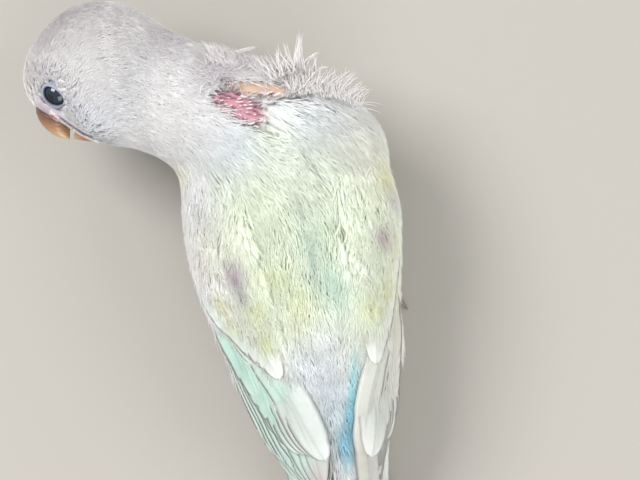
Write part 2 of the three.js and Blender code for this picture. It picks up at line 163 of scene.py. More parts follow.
# %% The bird's form
CHEST_HALF_WIDTH, BACK_HEIGHT, REAR_SHIFT, NECK_RADIUS = 16.8, 41.0, 1.8, 12.4
HEAD_CENTRE = row(-36.3, 45.2, 26.9)
HEAD_FORWARD = unit(row(-0.74, -0.63, -0.24))
HEAD_UP = unit(np.cross(HEAD_FORWARD, row(-0.28, -0.03, 0.96)))
HEAD_LEFT = np.cross(HEAD_UP, HEAD_FORWARD)
HEAD_AXES = np.stack([HEAD_FORWARD, HEAD_LEFT, HEAD_UP])
HEAD_HALF_WIDTH = 11.3
EYE_PLACE, EYE_RADIUS, EYE_DEPTH = (6.4, 8.5, 0.7), 3.2, 3.0
NECK_BASE, NECK_TOP = row(-12.5, 32.5, 26), row(-24.5, 40.5, 27)


def in_head(forward, left, up):
    return HEAD_CENTRE + row(forward, left, up) @ HEAD_AXES


def head_shape(shape):
    return lambda p: shape((p - HEAD_CENTRE) @ HEAD_AXES.T)


chest = ellipsoid((0, 12, BACK_HEIGHT / 2 - 0.5), (CHEST_HALF_WIDTH, 24, BACK_HEIGHT / 2 + 0.3))
shoulders = ellipsoid((2.6, 20.4, 25), (CHEST_HALF_WIDTH + 1.6, 13.9, 13))
back = ellipsoid((0, -12, 18), (CHEST_HALF_WIDTH - 0.6, 28, 19))
rump = ellipsoid((0.7 * REAR_SHIFT, -33, 15), (9.5, 20, 9))
tail_base = ellipsoid((REAR_SHIFT, -47, 10.5), (6.6, 17, 4.2))
neck = round_cone((-3, 26, 26), (-27, 42, 27), NECK_RADIUS + 0.4, NECK_RADIUS - 0.6)
skull = head_shape(melt(
    5,
    ellipsoid((-2.2, 0, 2.4), (11.8, HEAD_HALF_WIDTH, 10.2)),
    ellipsoid((4.6, 0, 4.2), (7.4, 0.64 * HEAD_HALF_WIDTH, 7.2)),
    ellipsoid((2, 0, -5.3), (7.9, 0.78 * HEAD_HALF_WIDTH, 7.7)),
    ellipsoid((-2.2, 0, 1.6), (11.3, 0.76 * HEAD_HALF_WIDTH, 6.5)),
))
torso_form = melt(6, melt(7, chest, back, rump, shoulders), tail_base)
whole_form = melt(8, melt(9, torso_form, neck), skull)


def arm(side, opened):
    return melt(
        5,
        ellipsoid((side * 5 - 0.7, 6, 24), (14.4, 20, 14)),
        ellipsoid((side * (15.4 + 1.3 * opened) - 0.7, 15 - 5 * opened, 23), (5, 14 + 5 * opened, 11)),
    )


arms = melt(1, arm(-1, 1), arm(1, 0))
wing_bed = ellipsoid((-1.6, -13, 16.5), (17.6, 33, 12))
tail_cover = ellipsoid((-3.2, -54, 8), (11, 30, 4))
guide_form = melt(9, melt(6, melt(4, torso_form, wing_bed), tail_cover), grown(arms, -1))
print("back", BACK_HEIGHT, "mm high, head", 2 * HEAD_HALF_WIDTH, "mm wide")

# %% [markdown]
# Feathers point from the bill to the tail. A curve through head, neck, back and tail gives that direction
# everywhere, and the place along it with the angle round it unwraps the skin like a peeled fruit.

# %% The line of the back
def catmull(points, t):
    pts = np.asarray(points, float)
    at = np.clip(np.asarray(t, float), 0, 1) * (len(pts) - 1)
    i = np.minimum(at.astype(int), len(pts) - 2)
    w = (at - i)[..., None]
    p0, p1 = pts[np.maximum(i - 1, 0)], pts[i]
    p2, p3 = pts[i + 1], pts[np.minimum(i + 2, len(pts) - 1)]
    m1, m2 = (p2 - p0) / 2, (p3 - p1) / 2
    return (2 * p1 - 2 * p2 + m1 + m2) * w**3 + (3 * p2 - 3 * p1 - 2 * m1 - m2) * w**2 + m1 * w + p1


SPINE_STOPS = [
    in_head(12, 0, -2), in_head(5, 0, 1), in_head(-3, 0, 2), NECK_TOP, NECK_BASE, (-3, 24, 25), (0, 8, 22),
    (0.3, -12, 19), (1.3, -33, 15), (REAR_SHIFT, -50, 10.5), (REAR_SHIFT, -68, 8),
]
SPINE_PLACES = np.linspace(0, 1, 90)
SPINE = catmull(SPINE_STOPS, SPINE_PLACES)
SPINE_WAY = unit(np.gradient(SPINE, axis=0))
past_head = smoothstep(SPINE_PLACES, 0.2, 0.42)[:, None]
SPINE_UP = level(lerp(HEAD_UP, row(0, 0, 1), past_head), SPINE_WAY)
SPINE_SIDE = np.cross(SPINE_WAY, SPINE_UP)
print("spine", round(float(length(np.diff(SPINE, axis=0)).sum())), "mm long from bill to tail")


def along_spine(p):
    """Place from bill 0 to tail 1, angle round the spine, and the feathers' way at each point."""
    d = length(p[:, None] - SPINE[None])
    w = np.exp(-(((d - d.min(1, keepdims=True)) / 3.0) ** 2))
    w /= w.sum(1, keepdims=True)
    off = p - w @ SPINE
    up, side = w @ SPINE_UP, w @ SPINE_SIDE
    angle = np.arctan2((off * side).sum(1), (off * up).sum(1))
    return w @ SPINE_PLACES, angle, unit(w @ SPINE_WAY)


BILL_BASE = in_head(10, 0, -1)
FEATHER_DROOP = 0.18


def lie(p, n):
    """The way that feathers point at a place on the skin: out from the bill, then back, and a little down."""
    _, _, way = along_spine(p)
    from_bill = p - BILL_BASE
    near_bill = np.exp(-((length(from_bill) / 9.0) ** 2))[:, None]
    way = lerp(way, unit(from_bill), near_bill)
    return level(way - FEATHER_DROOP * row(0, 0, 1) * (1 - near_bill), n)


def drift(p, size, start=0.0):
    """A slow sideways wander of the lie, from -1 to 1, which gathers neighbours in silky locks."""
    u, v, w = p.T / size
    waves = np.sin(2.1 * u + 0.7 * v + start) + np.sin(0.8 * v - 1.9 * w + 2 * start)
    return ((waves + np.sin(1.7 * u - 1.1 * v + w)) / 3)[:, None]

# %% [markdown]
# A mesh is made from a distance function by looking at a grid of cubes, and setting one point in each
# cube that the surface crosses. The points then slide onto the surface itself, so a coarse grid still
# gives an exact form.

# %% Meshes from distance functions
CUBE_CORNERS = np.array([(c & 1, (c >> 1) & 1, c >> 2) for c in range(8)])
CUBE_EDGES = [(m, o) for m in range(8) for o in range(m + 1, 8) if m ^ o in (1, 2, 4)]


def mesh_of_form(form, low, high, cell):
    low = row(*low)
    n = np.ceil((row(*high) - low) / cell).astype(int) + 1
    axes = [low[a] + cell * np.arange(n[a]) for a in range(3)]
    grid = np.stack(np.meshgrid(*axes, indexing="ij"), -1).reshape(-1, 3)
    values = np.concatenate([form(part) for part in np.array_split(grid, 24)]).reshape(n)
    values[[0, -1]] = values[:, [0, -1]] = values[:, :, [0, -1]] = cell
    inside = values < 0
    m = n - 1
    corner = [values[i:i + m[0], j:j + m[1], k:k + m[2]] for i, j, k in CUBE_CORNERS]
    total, hits = np.zeros((*m, 3)), np.zeros(m)
    for a, b in CUBE_EDGES:
        crossed = (corner[a] < 0) != (corner[b] < 0)
        t = np.where(crossed, corner[a] / np.where(crossed, corner[a] - corner[b], 1), 0)[..., None]
        total += crossed[..., None] * lerp(CUBE_CORNERS[a], CUBE_CORNERS[b], t)
        hits += crossed
    used = hits > 0
    number = np.full(m, -1)
    number[used] = np.arange(used.sum())
    points = low + cell * (np.argwhere(used) + total[used] / hits[used][:, None])
    quads = []
    for axis in range(3):
        u, w = [(axis + 1) % 3, (axis + 2) % 3]
        step = np.zeros(3, int)
        step[axis] = 1
        ends = [slice(0, n[a] - step[a]) for a in range(3)]
        starts = [slice(step[a], n[a]) for a in range(3)]
        change = inside[tuple(ends)] != inside[tuple(starts)]
        cells = np.argwhere(change)
        out = inside[tuple(ends)][change]
        ring = []
        for s, t in ((0, 0), (1, 0), (1, 1), (0, 1)):
            shift = np.zeros(3, int)
            shift[u], shift[w] = s, t
            ring.append(number[tuple((cells - shift).T)])
        ring = np.stack(ring, 1)
        ring[~out] = ring[~out][:, ::-1]
        quads.append(ring)
    return onto(form, points), np.concatenate(quads)

# %% [markdown]
# Every piece is one mesh object, made from arrays. Colours are painted on its points in linear light, and
# the feather pieces also carry a map in which each tuft is one small patch at its root's place on the
# unwrapped skin.

# %% Making objects
def linear(hex_colour):
    srgb = np.array([int(hex_colour[i:i + 2], 16) / 255 for i in (1, 3, 5)])
    return np.where(srgb <= 0.04045, srgb / 12.92, ((srgb + 0.055) / 1.055) ** 2.4)


triangle_total = [0]


def make_object(name, points, faces, material, colours=None, uv=None, extra=None):
    mesh = bpy.data.meshes.new(name)
    faces = np.asarray(faces, np.int32)
    count, sides = faces.shape
    mesh.vertices.add(len(points))
    mesh.vertices.foreach_set("co", (np.asarray(points) * MM).astype(np.float32).ravel())
    mesh.loops.add(count * sides)
    mesh.loops.foreach_set("vertex_index", faces.ravel())
    mesh.polygons.add(count)
    mesh.polygons.foreach_set("loop_start", np.arange(0, count * sides, sides, dtype=np.int32))
    if colours is not None:
        layer = mesh.color_attributes.new("plumage", "FLOAT_COLOR", "POINT")
        rgba = np.concatenate([np.clip(colours, 0, 1), np.ones((len(points), 1))], 1)
        layer.data.foreach_set("color", rgba.astype(np.float32).ravel())
    if uv is not None:
        layer = mesh.uv_layers.new(name="OFBake")
        layer.uv.foreach_set("vector", uv[faces.ravel()].astype(np.float32).ravel())
    if extra is not None:
        layer = mesh.attributes.new("vane", "FLOAT_VECTOR", "POINT")
        layer.data.foreach_set("vector", extra.astype(np.float32).ravel())
    mesh.update()
    mesh.validate()
    mesh.shade_smooth()
    mesh.materials.append(material)
    piece = bpy.data.objects.new(name, mesh)
    bpy.context.scene.collection.objects.link(piece)
    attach(piece, "root")
    triangle_total[0] += count * (sides - 2)
    print(name, count * (sides - 2), "triangles")
    return piece


def lofts(rings):
    """Closed bodies from rings[body, station, corner]: returns the faces for the flattened points."""
    bodies, stations, corners = rings.shape[:3]
    a = np.arange(corners)
    b = (a + 1) % corners
    side = [np.stack([i * corners + a, i * corners + b, (i + 1) * corners + b, (i + 1) * corners + a], 1)
            for i in range(stations - 1)]
    quads = np.concatenate(side)
    template = np.concatenate([quads[:, [0, 1, 2]], quads[:, [0, 2, 3]]])
    last = (stations - 1) * corners
    caps = [(0, k + 1, k) for k in range(1, corners - 1)]
    caps += [(last, last + k, last + k + 1) for k in range(1, corners - 1)]
    template = np.concatenate([template, np.array(caps)])
    return (template[None] + (np.arange(bodies) * stations * corners)[:, None, None]).reshape(-1, 3)

# %% [markdown]
# The plumage of this bird is nearly white. Its colours are faint washes: lavender grey on the nape, pale
# green on the back, mint on the left wing, cream on the right, and one blue streak on the rump. With them
# go washes of painted shade: a cool blue grey under the head, and two thin dark lines in the groove between
# the wings. They are painted as soft round patches, each with a place and a size on the body, so that skin
# and feathers carry the same markings.

# %% Plumage colours
WHITE, MINT, PALE_GREEN, BELLY = (linear(c) for c in ("#f7f5f4", "#98dcc4", "#f1f9e4", "#e8ecc8"))
# the tail's own grey, and a cool blue grey that is painted shade under the head
TAIL_GREY, THROAT_PAINTED_SHADE = linear("#d9dbe0"), linear("#c9d0da")

# place x, y, reach along x, reach along y, turn in degrees, colour, strength
BACK_PATCHES = [
    (-8, 24, 8, 6, 20, "#e7eff4", 0.77), (7, 27, 8, 6, 0, "#ebf1f2", 0.77),
    (-1.5, 25, 3.4, 4, 0, "#e9f3db", 0.77), (0, 14, 10, 8, 0, "#ebf5e3", 0.59),
    (3.6, 2.6, 4.5, 5, 10, "#d6f0d9", 0.5), (5, -6.7, 3.6, 4.6, 15, "#c2ebd9", 0.55),
    (-6.2, -2.8, 4.5, 3.2, 0, "#e8f2b9", 0.61), (8.5, 3, 3.5, 5, 0, "#ebf5d7", 0.5),
    (-9, 8, 6, 7, 0, "#eef5d9", 0.5), (-5, 10, 5, 6, 0, "#ecf5de", 0.51),
    # the next two, thin dark grey-green lines down the middle, are painted shade in the groove between the
    # wings
    (1.4, 9, 0.5, 4, 0, "#97a692", 0.5), (1.8, -1, 0.6, 5, 0, "#8fb3a4", 0.6),
    (-2, -9, 3, 2.4, 0, "#edf3ae", 0.58), (-3.6, -14, 2.6, 2.2, 0, "#ecf2b9", 0.58),
    (0.8, -17.6, 7, 3.4, 0, "#f1efee", 0.77), (-2, -23, 6, 7, 0, "#edf1f6", 0.81),
    (1, -30, 3.6, 7, -6, "#e2f0f7", 0.65), (-0.5, -36, 2.4, 5, 0, "#d9eff5", 0.58),
    (6.0, -24.5, 0.9, 3.4, -15, "#a9eef2", 0.8), (4.8, -29.6, 1.0, 3.4, -15, "#7fe2f0", 0.95),
    (3.4, -34.6, 1.2, 3.4, -15, "#4ed6f2", 1.0), (1.6, -40, 1.5, 3.2, -15, "#2ccbf0", 1.0),
    (-14.4, -0.5, 1.9, 2.4, 20, "#b08aa8", 0.81), (-13.6, -4.4, 1.2, 3, 10, "#a9a3ad", 0.63),
    (16.8, 1.2, 1.5, 2.2, 0, "#b088a6", 0.81), (-21.2, 20.6, 1.7, 1.9, 0, "#f4f1c2", 0.65),
    (-19, 17.6, 2.2, 2.8, 0, "#ffffff", 0.81), (-18.6, 12, 1.6, 3, 0, "#c4c2c8", 0.51),
    (-20.5, 6, 3.0, 5, 0, "#eae8e0", 0.59), (-17, 4, 3, 6, 0, "#f1f5de", 0.51),
    (-18.2, -6.6, 1.8, 1.9, 0, "#f1f0a9", 0.61), (-16.9, -12, 1.7, 2.1, 0, "#f0f0ab", 0.61),
    (-11.2, -9, 2.4, 2, 0, "#ecf3b0", 0.61), (-10.4, -15.7, 1.9, 2.5, 0, "#edf0ae", 0.58),
    (-17.6, -17.9, 0.8, 1.0, 0, "#6fa9cf", 0.81), (17, 17, 4.6, 8, 0, "#f7f5e9", 0.77),
    (19.6, 12.9, 1.9, 2.6, 0, "#f2eeb0", 0.61), (15.8, 9.5, 2.4, 3.6, 0, "#f0f5dc", 0.68),
    (11.6, -12.6, 2.2, 2.5, 0, "#eff0b0", 0.61), (16.2, -10, 1.9, 2.4, 0, "#f2efac", 0.61),
    (20.9, 8, 1.6, 2.4, 0, "#cfc1c8", 0.68), (19, -3, 2.4, 7, 5, "#f5f1d9", 0.5),
    (11, -3, 4, 7, 10, "#f0f5e1", 0.51), (-11, 41, 5, 2.6, 10, "#ddd4da", 0.59),
    (-20, 48, 8, 4, 20, "#ddd5d9", 0.68), (-9, 38, 4, 4, 0, "#e2dadf", 0.68),
]
# forward, to either side, up in the head's own axes, reach, colour, strength
HEAD_PATCHES = [
    (3, 0, 2, 30, "#dfdad8", 0.75), (2, 0, 12, 6.5, "#d8cdcf", 0.85), (8.2, 5.5, 0, 2.6, "#bdb7c4", 0.8),
    (-4, 3, 9.5, 5.5, "#d9c9cd", 0.75), (2.2, 9.4, 3.2, 2.6, "#dcd6e2", 0.6),
    # the last two patches on the next line, cool blue greys low on the head's sides, are painted shade under
    # the jaw
    (-4, 10, -1, 6.5, "#edebea", 0.7), (3, 7, -8.4, 4, "#dbe1e8", 0.6), (4, 9, -5, 3.5, "#d6d6de", 0.6),
    (10.5, 0, 5, 3.4, "#f0e3e2", 0.8), (-10, 2, 3, 6, "#ddd5da", 0.6),
]
print(len(BACK_PATCHES), "patches of colour on the body,", len(HEAD_PATCHES), "on the head")


def in_patch(p, x, y, reach_x, reach_y, turn):
    """Places in a turned round patch, counted from its middle and 1 at its rim."""
    c, s = math.cos(math.radians(turn)), math.sin(math.radians(turn))
    u = (c * (p[:, 0] - x) + s * (p[:, 1] - y)) / reach_x
    return u, (c * (p[:, 1] - y) - s * (p[:, 0] - x)) / reach_y


def plumage(p, n):
    """The paint at places p on a surface with normals n."""
    x, y, z = p.T
    colour = np.tile(WHITE, (len(p), 1))

    def wash(tint, amount):
        nonlocal colour
        colour = lerp(colour, tint, np.clip(amount, 0, 1)[:, None])
    q = (p - HEAD_CENTRE) @ HEAD_AXES.T
    on_head = smoothstep(-length(q), -19, -14)
    trunk = 1 - smoothstep(-x, 8, 22)
    wash(PALE_GREEN, trunk * smoothstep(-y, -30, -12) * 0.85)
    wash(WHITE, smoothstep(-y, 16, 28) * 0.8)
    wash(BELLY, trunk * smoothstep(-z, -16, -9) * smoothstep(-n[:, 2], -0.2, 0.5))
    # painted shade: a cool blue grey washed over the underside of the head, below the jaw
    wash(THROAT_PAINTED_SHADE, 0.55 * on_head * smoothstep(-q[:, 2], 4, 11))
    upward = smoothstep(n[:, 2], -0.15, 0.25) * (1 - on_head)
    for *place, tint, strength in BACK_PATCHES:
        u, v = in_patch(p, *place)
        wash(linear(tint), strength * upward * np.exp(-(u**2 + v**2)))
    for f, side, up, reach, tint, strength in HEAD_PATCHES:
        away = (q[:, 0] - f) ** 2 + (np.abs(q[:, 1]) - side) ** 2 + (q[:, 2] - up) ** 2
        wash(linear(tint), strength * on_head * np.exp(-away / reach**2))
    return colour

# %% [markdown]
# Real plumage is keratin, the stuff of fingernails: a vane of barbs, matt, with a faint silky gloss. The
# barbs are a tenth of a millimetre apart, too fine for this picture, so their bump is drawn at a third of
# a millimetre. Each material is one node tree, and one small helper adds its nodes.

# %% Materials
def add_node(tree, kind, settings=None, **links):
    node = tree.nodes.new(kind)
    for key, value in (settings or {}).items():
        if hasattr(node, key):
            setattr(node, key, value)
        else:
            node.inputs[key].default_value = value
    for key, source in links.items():
        socket = int(key[3:]) if key.startswith("in_") else key.replace("_", " ")
        tree.links.new(source, node.inputs[socket])
    return node


def new_material(name, **settings):
    material = bpy.data.materials.new(name)
    material.use_nodes = True
    shader = material.node_tree.nodes["Principled BSDF"]
    for key, value in settings.items():
        shader.inputs[key.replace("_", " ")].default_value = value
    return material, material.node_tree, shader


def mottled(tree, colour, grain_mm, low, high):
    """A colour that varies a little in patches of a real size."""
    place = add_node(tree, "ShaderNodeTexCoord")
    noise = add_node(tree, "ShaderNodeTexNoise", {"Scale": 1 / (grain_mm * MM), "Detail": 3.0},
                     Vector=place.outputs["Object"])
    spread = add_node(tree, "ShaderNodeMapRange", {"To Min": low, "To Max": high}, Value=noise.outputs["Fac"])
    mixed = add_node(tree, "ShaderNodeMix", {"data_type": "RGBA", "blend_type": "MULTIPLY"})
    mixed.inputs[0].default_value = 1.0
    tree.links.new(colour, mixed.inputs[6])
    tree.links.new(spread.outputs["Result"], mixed.inputs[7])
    return mixed.outputs[2], noise


def painted_material(name, grain_mm, low, high, **settings):
    """A material whose colour is the paint on the points, a little lighter and darker in grains."""
    material, tree, shader = new_material(name, **settings)
    paint = add_node(tree, "ShaderNodeAttribute", {"attribute_name": "plumage"})
    colour, noise = mottled(tree, paint.outputs["Color"], grain_mm, low, high)
    tree.links.new(colour, shader.inputs["Base Color"])
    return material, tree, shader, noise


def plumage_material(name, barb_mm, depth_mm, roughness, sheen):
    """Painted keratin with a fine bump of slanting barbs along each vane."""
    material, tree, shader, _ = painted_material(
        name, 2.5, 0.9, 1.06, Roughness=roughness, IOR=1.54, Sheen_Weight=sheen, Sheen_Roughness=0.5,
        Specular_IOR_Level=0.3, Subsurface_Weight=0.25, Subsurface_Scale=0.0012, Subsurface_Radius=(1, 1, 1))
    vane = add_node(tree, "ShaderNodeAttribute", {"attribute_name": "vane"})
    split = add_node(tree, "ShaderNodeSeparateXYZ", in_0=vane.outputs["Vector"])
    slant = add_node(tree, "ShaderNodeMath", {"operation": "ABSOLUTE"}, in_0=split.outputs["X"])
    barbs = add_node(tree, "ShaderNodeMath", {"operation": "SUBTRACT"},
                     in_0=split.outputs["Y"], in_1=slant.outputs[0])
    turns = add_node(tree, "ShaderNodeMath", {"operation": "MULTIPLY"}, in_0=barbs.outputs[0])
    turns.inputs[1].default_value = 2 * math.pi / barb_mm
    wave = add_node(tree, "ShaderNodeMath", {"operation": "SINE"}, in_0=turns.outputs[0])
    bump = add_node(tree, "ShaderNodeBump", {"Strength": 0.5, "Distance": depth_mm * MM},
                    Height=wave.outputs[0])
    tree.links.new(bump.outputs["Normal"], shader.inputs["Normal"])
    return material


vane_keratin = plumage_material("feather vane keratin", 0.34, 0.06, 0.62, 0.15)
down_keratin = plumage_material("soft down keratin", 0.5, 0.02, 0.8, 0.25)


def grained_material(name, grain_mm, low, high, bump_strength, bump_mm, **settings):
    """A painted material whose surface also rises and falls with its grains."""
    material, tree, shader, noise = painted_material(name, grain_mm, low, high, **settings)
    bump = add_node(tree, "ShaderNodeBump", {"Strength": bump_strength, "Distance": bump_mm * MM},
                    Height=noise.outputs["Fac"])
    tree.links.new(bump.outputs["Normal"], shader.inputs["Normal"])
    return material


skin_hide = grained_material("thin bird skin", 0.8, 0.85, 1.05, 0.6, 0.15, Roughness=0.55, IOR=1.4,
                             Subsurface_Weight=0.15, Subsurface_Scale=0.001)
print("plumage and skin materials made")

# %% [markdown]
# One skin lies under the whole coat, from the face to the tail and over both arms, so no seam can show
# where the solids part. It lies inside the solids by the depth of the coat: thin on the face, thicker on
# the body.

# %% Skin
FLOOR_CLEAR, EYE_CLEAR = 0.6, 0.25
BODY_COAT, HEAD_COAT_LESS, FACE_COAT_LESS, BARE_COAT = 1.3, 0.8, 0.28, 0.45
SKIN_CELL = 1.1
NOSTRIL_RADIUS = 0.8
SKIN_SHADE = 0.9
EYE_SIDES = (1, -1)
coat_form = melt(2.5, whole_form, arms)
eyes = []
for side in EYE_SIDES:
    spot = onto(whole_form, in_head(EYE_PLACE[0], side * EYE_PLACE[1], EYE_PLACE[2])[None], 0, 6)
    out = unit(slope(whole_form, spot))[0]
    eyes.append((spot[0] - EYE_DEPTH * out, out))
nostrils = [onto(whole_form, in_head(9.9, 5 * side, -1.1)[None], -0.1, 6)[0] for side in EYE_SIDES]

BARE_SPOTS = [  # x, y, reach along x, reach along y, turn, colour, how bare
    (-7.2, 32.2, 6.0, 2.8, -37, "#c68c99", 1.0), (-3.2, 35.7, 7.0, 1.9, -17, "#c8ad99", 1.0),
    (-14.4, -0.5, 1.4, 1.8, 20, "#b07a9c", 0.8), (16.8, 1.2, 1.1, 1.7, 0, "#b47a9e", 0.8),
]


def bareness(p):
    """How bare the upper side is at places p, from 0 to 1, and the skin's colour there."""
    bare, tint = np.zeros(len(p)), np.zeros((len(p), 3))
    for *place, colour, strength in BARE_SPOTS:
        amount = strength * (1 - smoothstep(np.hypot(*in_patch(p, *place)), 0.75, 1.2)) * (p[:, 2] > 20)
        tint = np.where((amount > bare)[:, None], linear(colour), tint)
        bare = np.maximum(bare, amount)
    return bare, tint


def coat_depth(p):
    on_head = smoothstep(-length(p - HEAD_CENTRE), -22, -12)
    on_face = smoothstep(-length(p - BILL_BASE), -12, -5)
    feathered = BODY_COAT - HEAD_COAT_LESS * on_head - FACE_COAT_LESS * on_face
    return lerp(feathered, BARE_COAT, bareness(p)[0])


def skin_form(p):
    d = coat_form(p) + coat_depth(p)
    d = np.maximum(d, FLOOR_CLEAR - p[..., 2])
    for centre, _ in eyes:
        d = np.maximum(d, EYE_RADIUS + EYE_CLEAR - length(p - centre))
    for nostril in nostrils:
        d = np.maximum(d, NOSTRIL_RADIUS - length(p - nostril))
    return d


skin_points, skin_faces = mesh_of_form(skin_form, (-54, -72, -2), (26, 64, 48), SKIN_CELL)
skin_normals = unit(slope(skin_form, skin_points))


def unwrap(p):
    """The map place of skin points: round the spine, and along it."""
    t, angle, _ = along_spine(p)
    return np.stack([0.02 + 0.96 * (angle / (2 * math.pi) + 0.5), 0.02 + 0.96 * t], 1)


skin_paint = SKIN_SHADE * plumage(skin_points, skin_normals)
bare, bare_tint = bareness(skin_points)
skin_paint = lerp(skin_paint, bare_tint, bare[:, None])
in_face = (skin_points - HEAD_CENTRE) @ HEAD_AXES.T
lores = smoothstep(in_face[:, 0], 7.6, 8.6) * smoothstep(-in_face[:, 2], -4.5, -3)
skin_paint = lerp(skin_paint, linear("#b9adb6"), lores[:, None])
skin = make_object("skin", skin_points, skin_faces, skin_hide, skin_paint)
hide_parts("head", "neck", "torso")

# %% [markdown]
# A feather or a strand is a closed body: rings of a few points along a path. All of one kind are made
# together from arrays, which is fast, and joined in one mesh. The path walks over the body in small
# steps, and each step is pulled back to a set height over the form, so that every feather hugs what it
# lies on.

# %% Feather makers
seeded = np.random.default_rng(11)
TUFT_PATCH = 0.0014
LOWEST_FEATHER = 0.06
STRAND_SHADES, STRAND_TAPER = np.array([0.93, 1, 1.04]), np.array([0.9, 1.0, 0.18])
RING_FLAT = np.array([(-1, 0, -1), (0, 1, 0.2), (1, 0, 1), (0, -1, -0.2)], float)
RING_ROUND = np.array([(-0.87, -0.5, -1), (0, 1, 0.3), (0.87, -0.5, 1)], float)


def walk(form, root, way, reach, stations, height, curl=None):
    """Path points over a form, with the directions along and out, for many feathers at once."""
    paths, alongs, outs = [], [], []
    p, d = root, way
    for k in range(stations):
        s = k / (stations - 1)
        p = onto(form, p, height(s), 2)
        n = unit(slope(form, p))
        d = level(d, n)
        if curl is not None:
            d = unit(d + np.cross(n, d) * curl[:, None] / (stations - 1))
        paths.append(p)
        alongs.append(d)
        outs.append(n)
        p = p + d * (reach / (stations - 1))[:, None]
    return np.stack(paths, 1), np.stack(alongs, 1), np.stack(outs, 1)


def bodies_on_paths(path, along, out, width, thick, ring):
    """Closed bodies on paths: width and thick are [body, station] half sizes, ring is a few corners."""
    across = np.cross(along, out)
    rings = path[:, :, None] + across[:, :, None] * (width[:, :, None] * ring[:, 0])[..., None]
    return rings + out[:, :, None] * (thick[:, :, None] * ring[:, 1])[..., None]


def patch_uv(root_uv, rings, ring):
    """Each body's small patch of the map, at its root's place."""
    bodies, stations, corners = rings.shape[:3]
    s = np.linspace(-1, 1, stations)[None, :, None]
    u = root_uv[:, 0, None, None] + TUFT_PATCH * np.broadcast_to(ring[:, 2], (bodies, stations, corners))
    shift = 0.25 * np.cos(2.4 * np.arange(corners))
    v = root_uv[:, 1, None, None] + TUFT_PATCH * 0.8 * (s + shift[None, None] * 0.5)
    return np.stack([u, np.broadcast_to(v, u.shape)], -1).reshape(-1, 2)


def vane_places(rings, width, reach, ring):
    """Across and along in millimetres at every ring point, for the barbs' bump."""
    bodies, stations, corners = rings.shape[:3]
    across = width[:, :, None] * ring[None, None, :, 0]
    along = np.broadcast_to(reach[:, None, None] * np.linspace(0, 1, stations)[None, :, None], across.shape)
    chance = np.broadcast_to(seeded.random(bodies)[:, None, None], across.shape)
    return np.stack([across, along, chance], -1)


def markings(path, out):
    return plumage(path.reshape(-1, 3), out.reshape(-1, 3)).reshape(path.shape)


class Coat:
    """Gathers closed bodies for one piece: points, faces, colours, unwrap and place on the vane."""

    def __init__(self):
        self.parts = []
        self.count = 0

    def add(self, rings, colours, uv, vane):
        faces = lofts(rings) + self.count
        points = rings.reshape(-1, 3)
        points[:, 2] = np.maximum(points[:, 2], LOWEST_FEATHER)
        self.parts.append((points, faces, colours.reshape(-1, 3), uv, vane.reshape(-1, 3)))
        self.count += len(points)

    def lay(self, walked, width, thick, ring, paint, root_uv, reach):
        """Adds bodies along walked paths, with half sizes and paint given for each station."""
        rings = bodies_on_paths(*walked, width, thick, ring)
        paint = np.repeat(paint[:, :, None], len(ring), 2)
        self.add(rings, paint, patch_uv(root_uv, rings, ring), vane_places(rings, width, reach, ring))

    def build(self, name, material):
        points, faces, colours, uv, vane = [np.concatenate(part) for part in zip(*self.parts)]
        return make_object(name, points, faces, material, colours, uv, vane)


def spread_roots(points, faces, spacing, keep):
    """Random places on a mesh, at most one in each small cube, where keep says so."""
    a, b, c, d = (points[faces[:, k]] for k in range(4))
    size = length(np.cross(c - a, d - b)) / 2
    wanted = int(7 * size.sum() / spacing**2)
    pick = seeded.choice(len(faces), wanted, p=size / size.sum())
    u, v = seeded.random((2, wanted, 1))
    p = lerp(lerp(a[pick], b[pick], u), lerp(d[pick], c[pick], u), v)
    p = p[keep(p)]
    _, first = np.unique(np.floor(p / spacing).astype(int), axis=0, return_index=True)
    return p[np.sort(first)]


def strands(coat, form, root, way, reach, spread, lift, radius, uv, each, curl=0.3, scatter=0.35, sink=0.9,
            flat=0.5, tint=None):
    """Tufts of fine strands: several thin tapered bodies from each root, fanned and painted by place."""
    n = len(root)
    reach, lift, radius = (np.broadcast_to(value, n) for value in (reach, lift, radius))
    who = np.repeat(np.arange(n), each)
    fan = seeded.normal(0, spread, n * each)
    normal = unit(slope(form, root))[who]
    start = root[who] + unit(seeded.normal(0, 1, (n * each, 3))) * scatter
    heading = unit(way[who] + np.cross(normal, way[who]) * fan[:, None])
    size = reach[who] * seeded.uniform(0.7, 1.15, n * each)
    rise = lift[who] * seeded.uniform(0.5, 1.3, n * each)
    path, along, out = walk(form, start, heading, size, 3, lambda s: -sink + (sink + rise) * s**0.8,
                            curl * seeded.normal(0, 1, n * each))
    taper = STRAND_TAPER[None] * radius[who][:, None]
    paint = markings(path, out)
    if tint is not None:
        paint = lerp(paint, tint, 0.6)
    paint = paint * seeded.normal(1, 0.03, (n * each, 1, 1)) * STRAND_SHADES[:, None]
    coat.lay((path, along, out), taper, flat * taper, RING_ROUND, paint, uv[who], size)

# %% [markdown]
# A flight feather is a long vane laid over the folded wing, and only its tip shows past its neighbours.
# The same lines as in the solids carry them here: the distance round the body is kept, so the vanes never
# bunch. There are twice as many as in the solids, each thin and cambered, with a raised shaft and edges
# that split between barbs.

# %% Flight feathers
ARC_STEP = 0.13
AXIS_TOP, AXIS_REAR = 19.0, 7.0
FURTHEST_OUT = 45.0
VANE_TILT, VANE_THICKNESS, VANE_LENGTH = 0.18, 0.2, 30.0


def over_guide(side, y, angle, height):
    """Points at a height over the guide form, found by halving along rays from the body's middle."""
    axis_height = lerp(AXIS_TOP, AXIS_REAR, smoothstep(-y, 5, 72))
    centre = np.stack([REAR_SHIFT * smoothstep(-y, 0, 40), y, axis_height], -1)
    out = np.stack([side * np.sin(angle), 0 * angle, np.cos(angle)], -1)
    near, far = np.zeros(y.shape), np.full(y.shape, FURTHEST_OUT)
    for _ in range(18):
        middle = (near + far) / 2
        below = guide_form(centre + out * middle[..., None]) < height
        near, far = np.where(below, middle, near), np.where(below, far, middle)
    return centre + out * near[..., None]


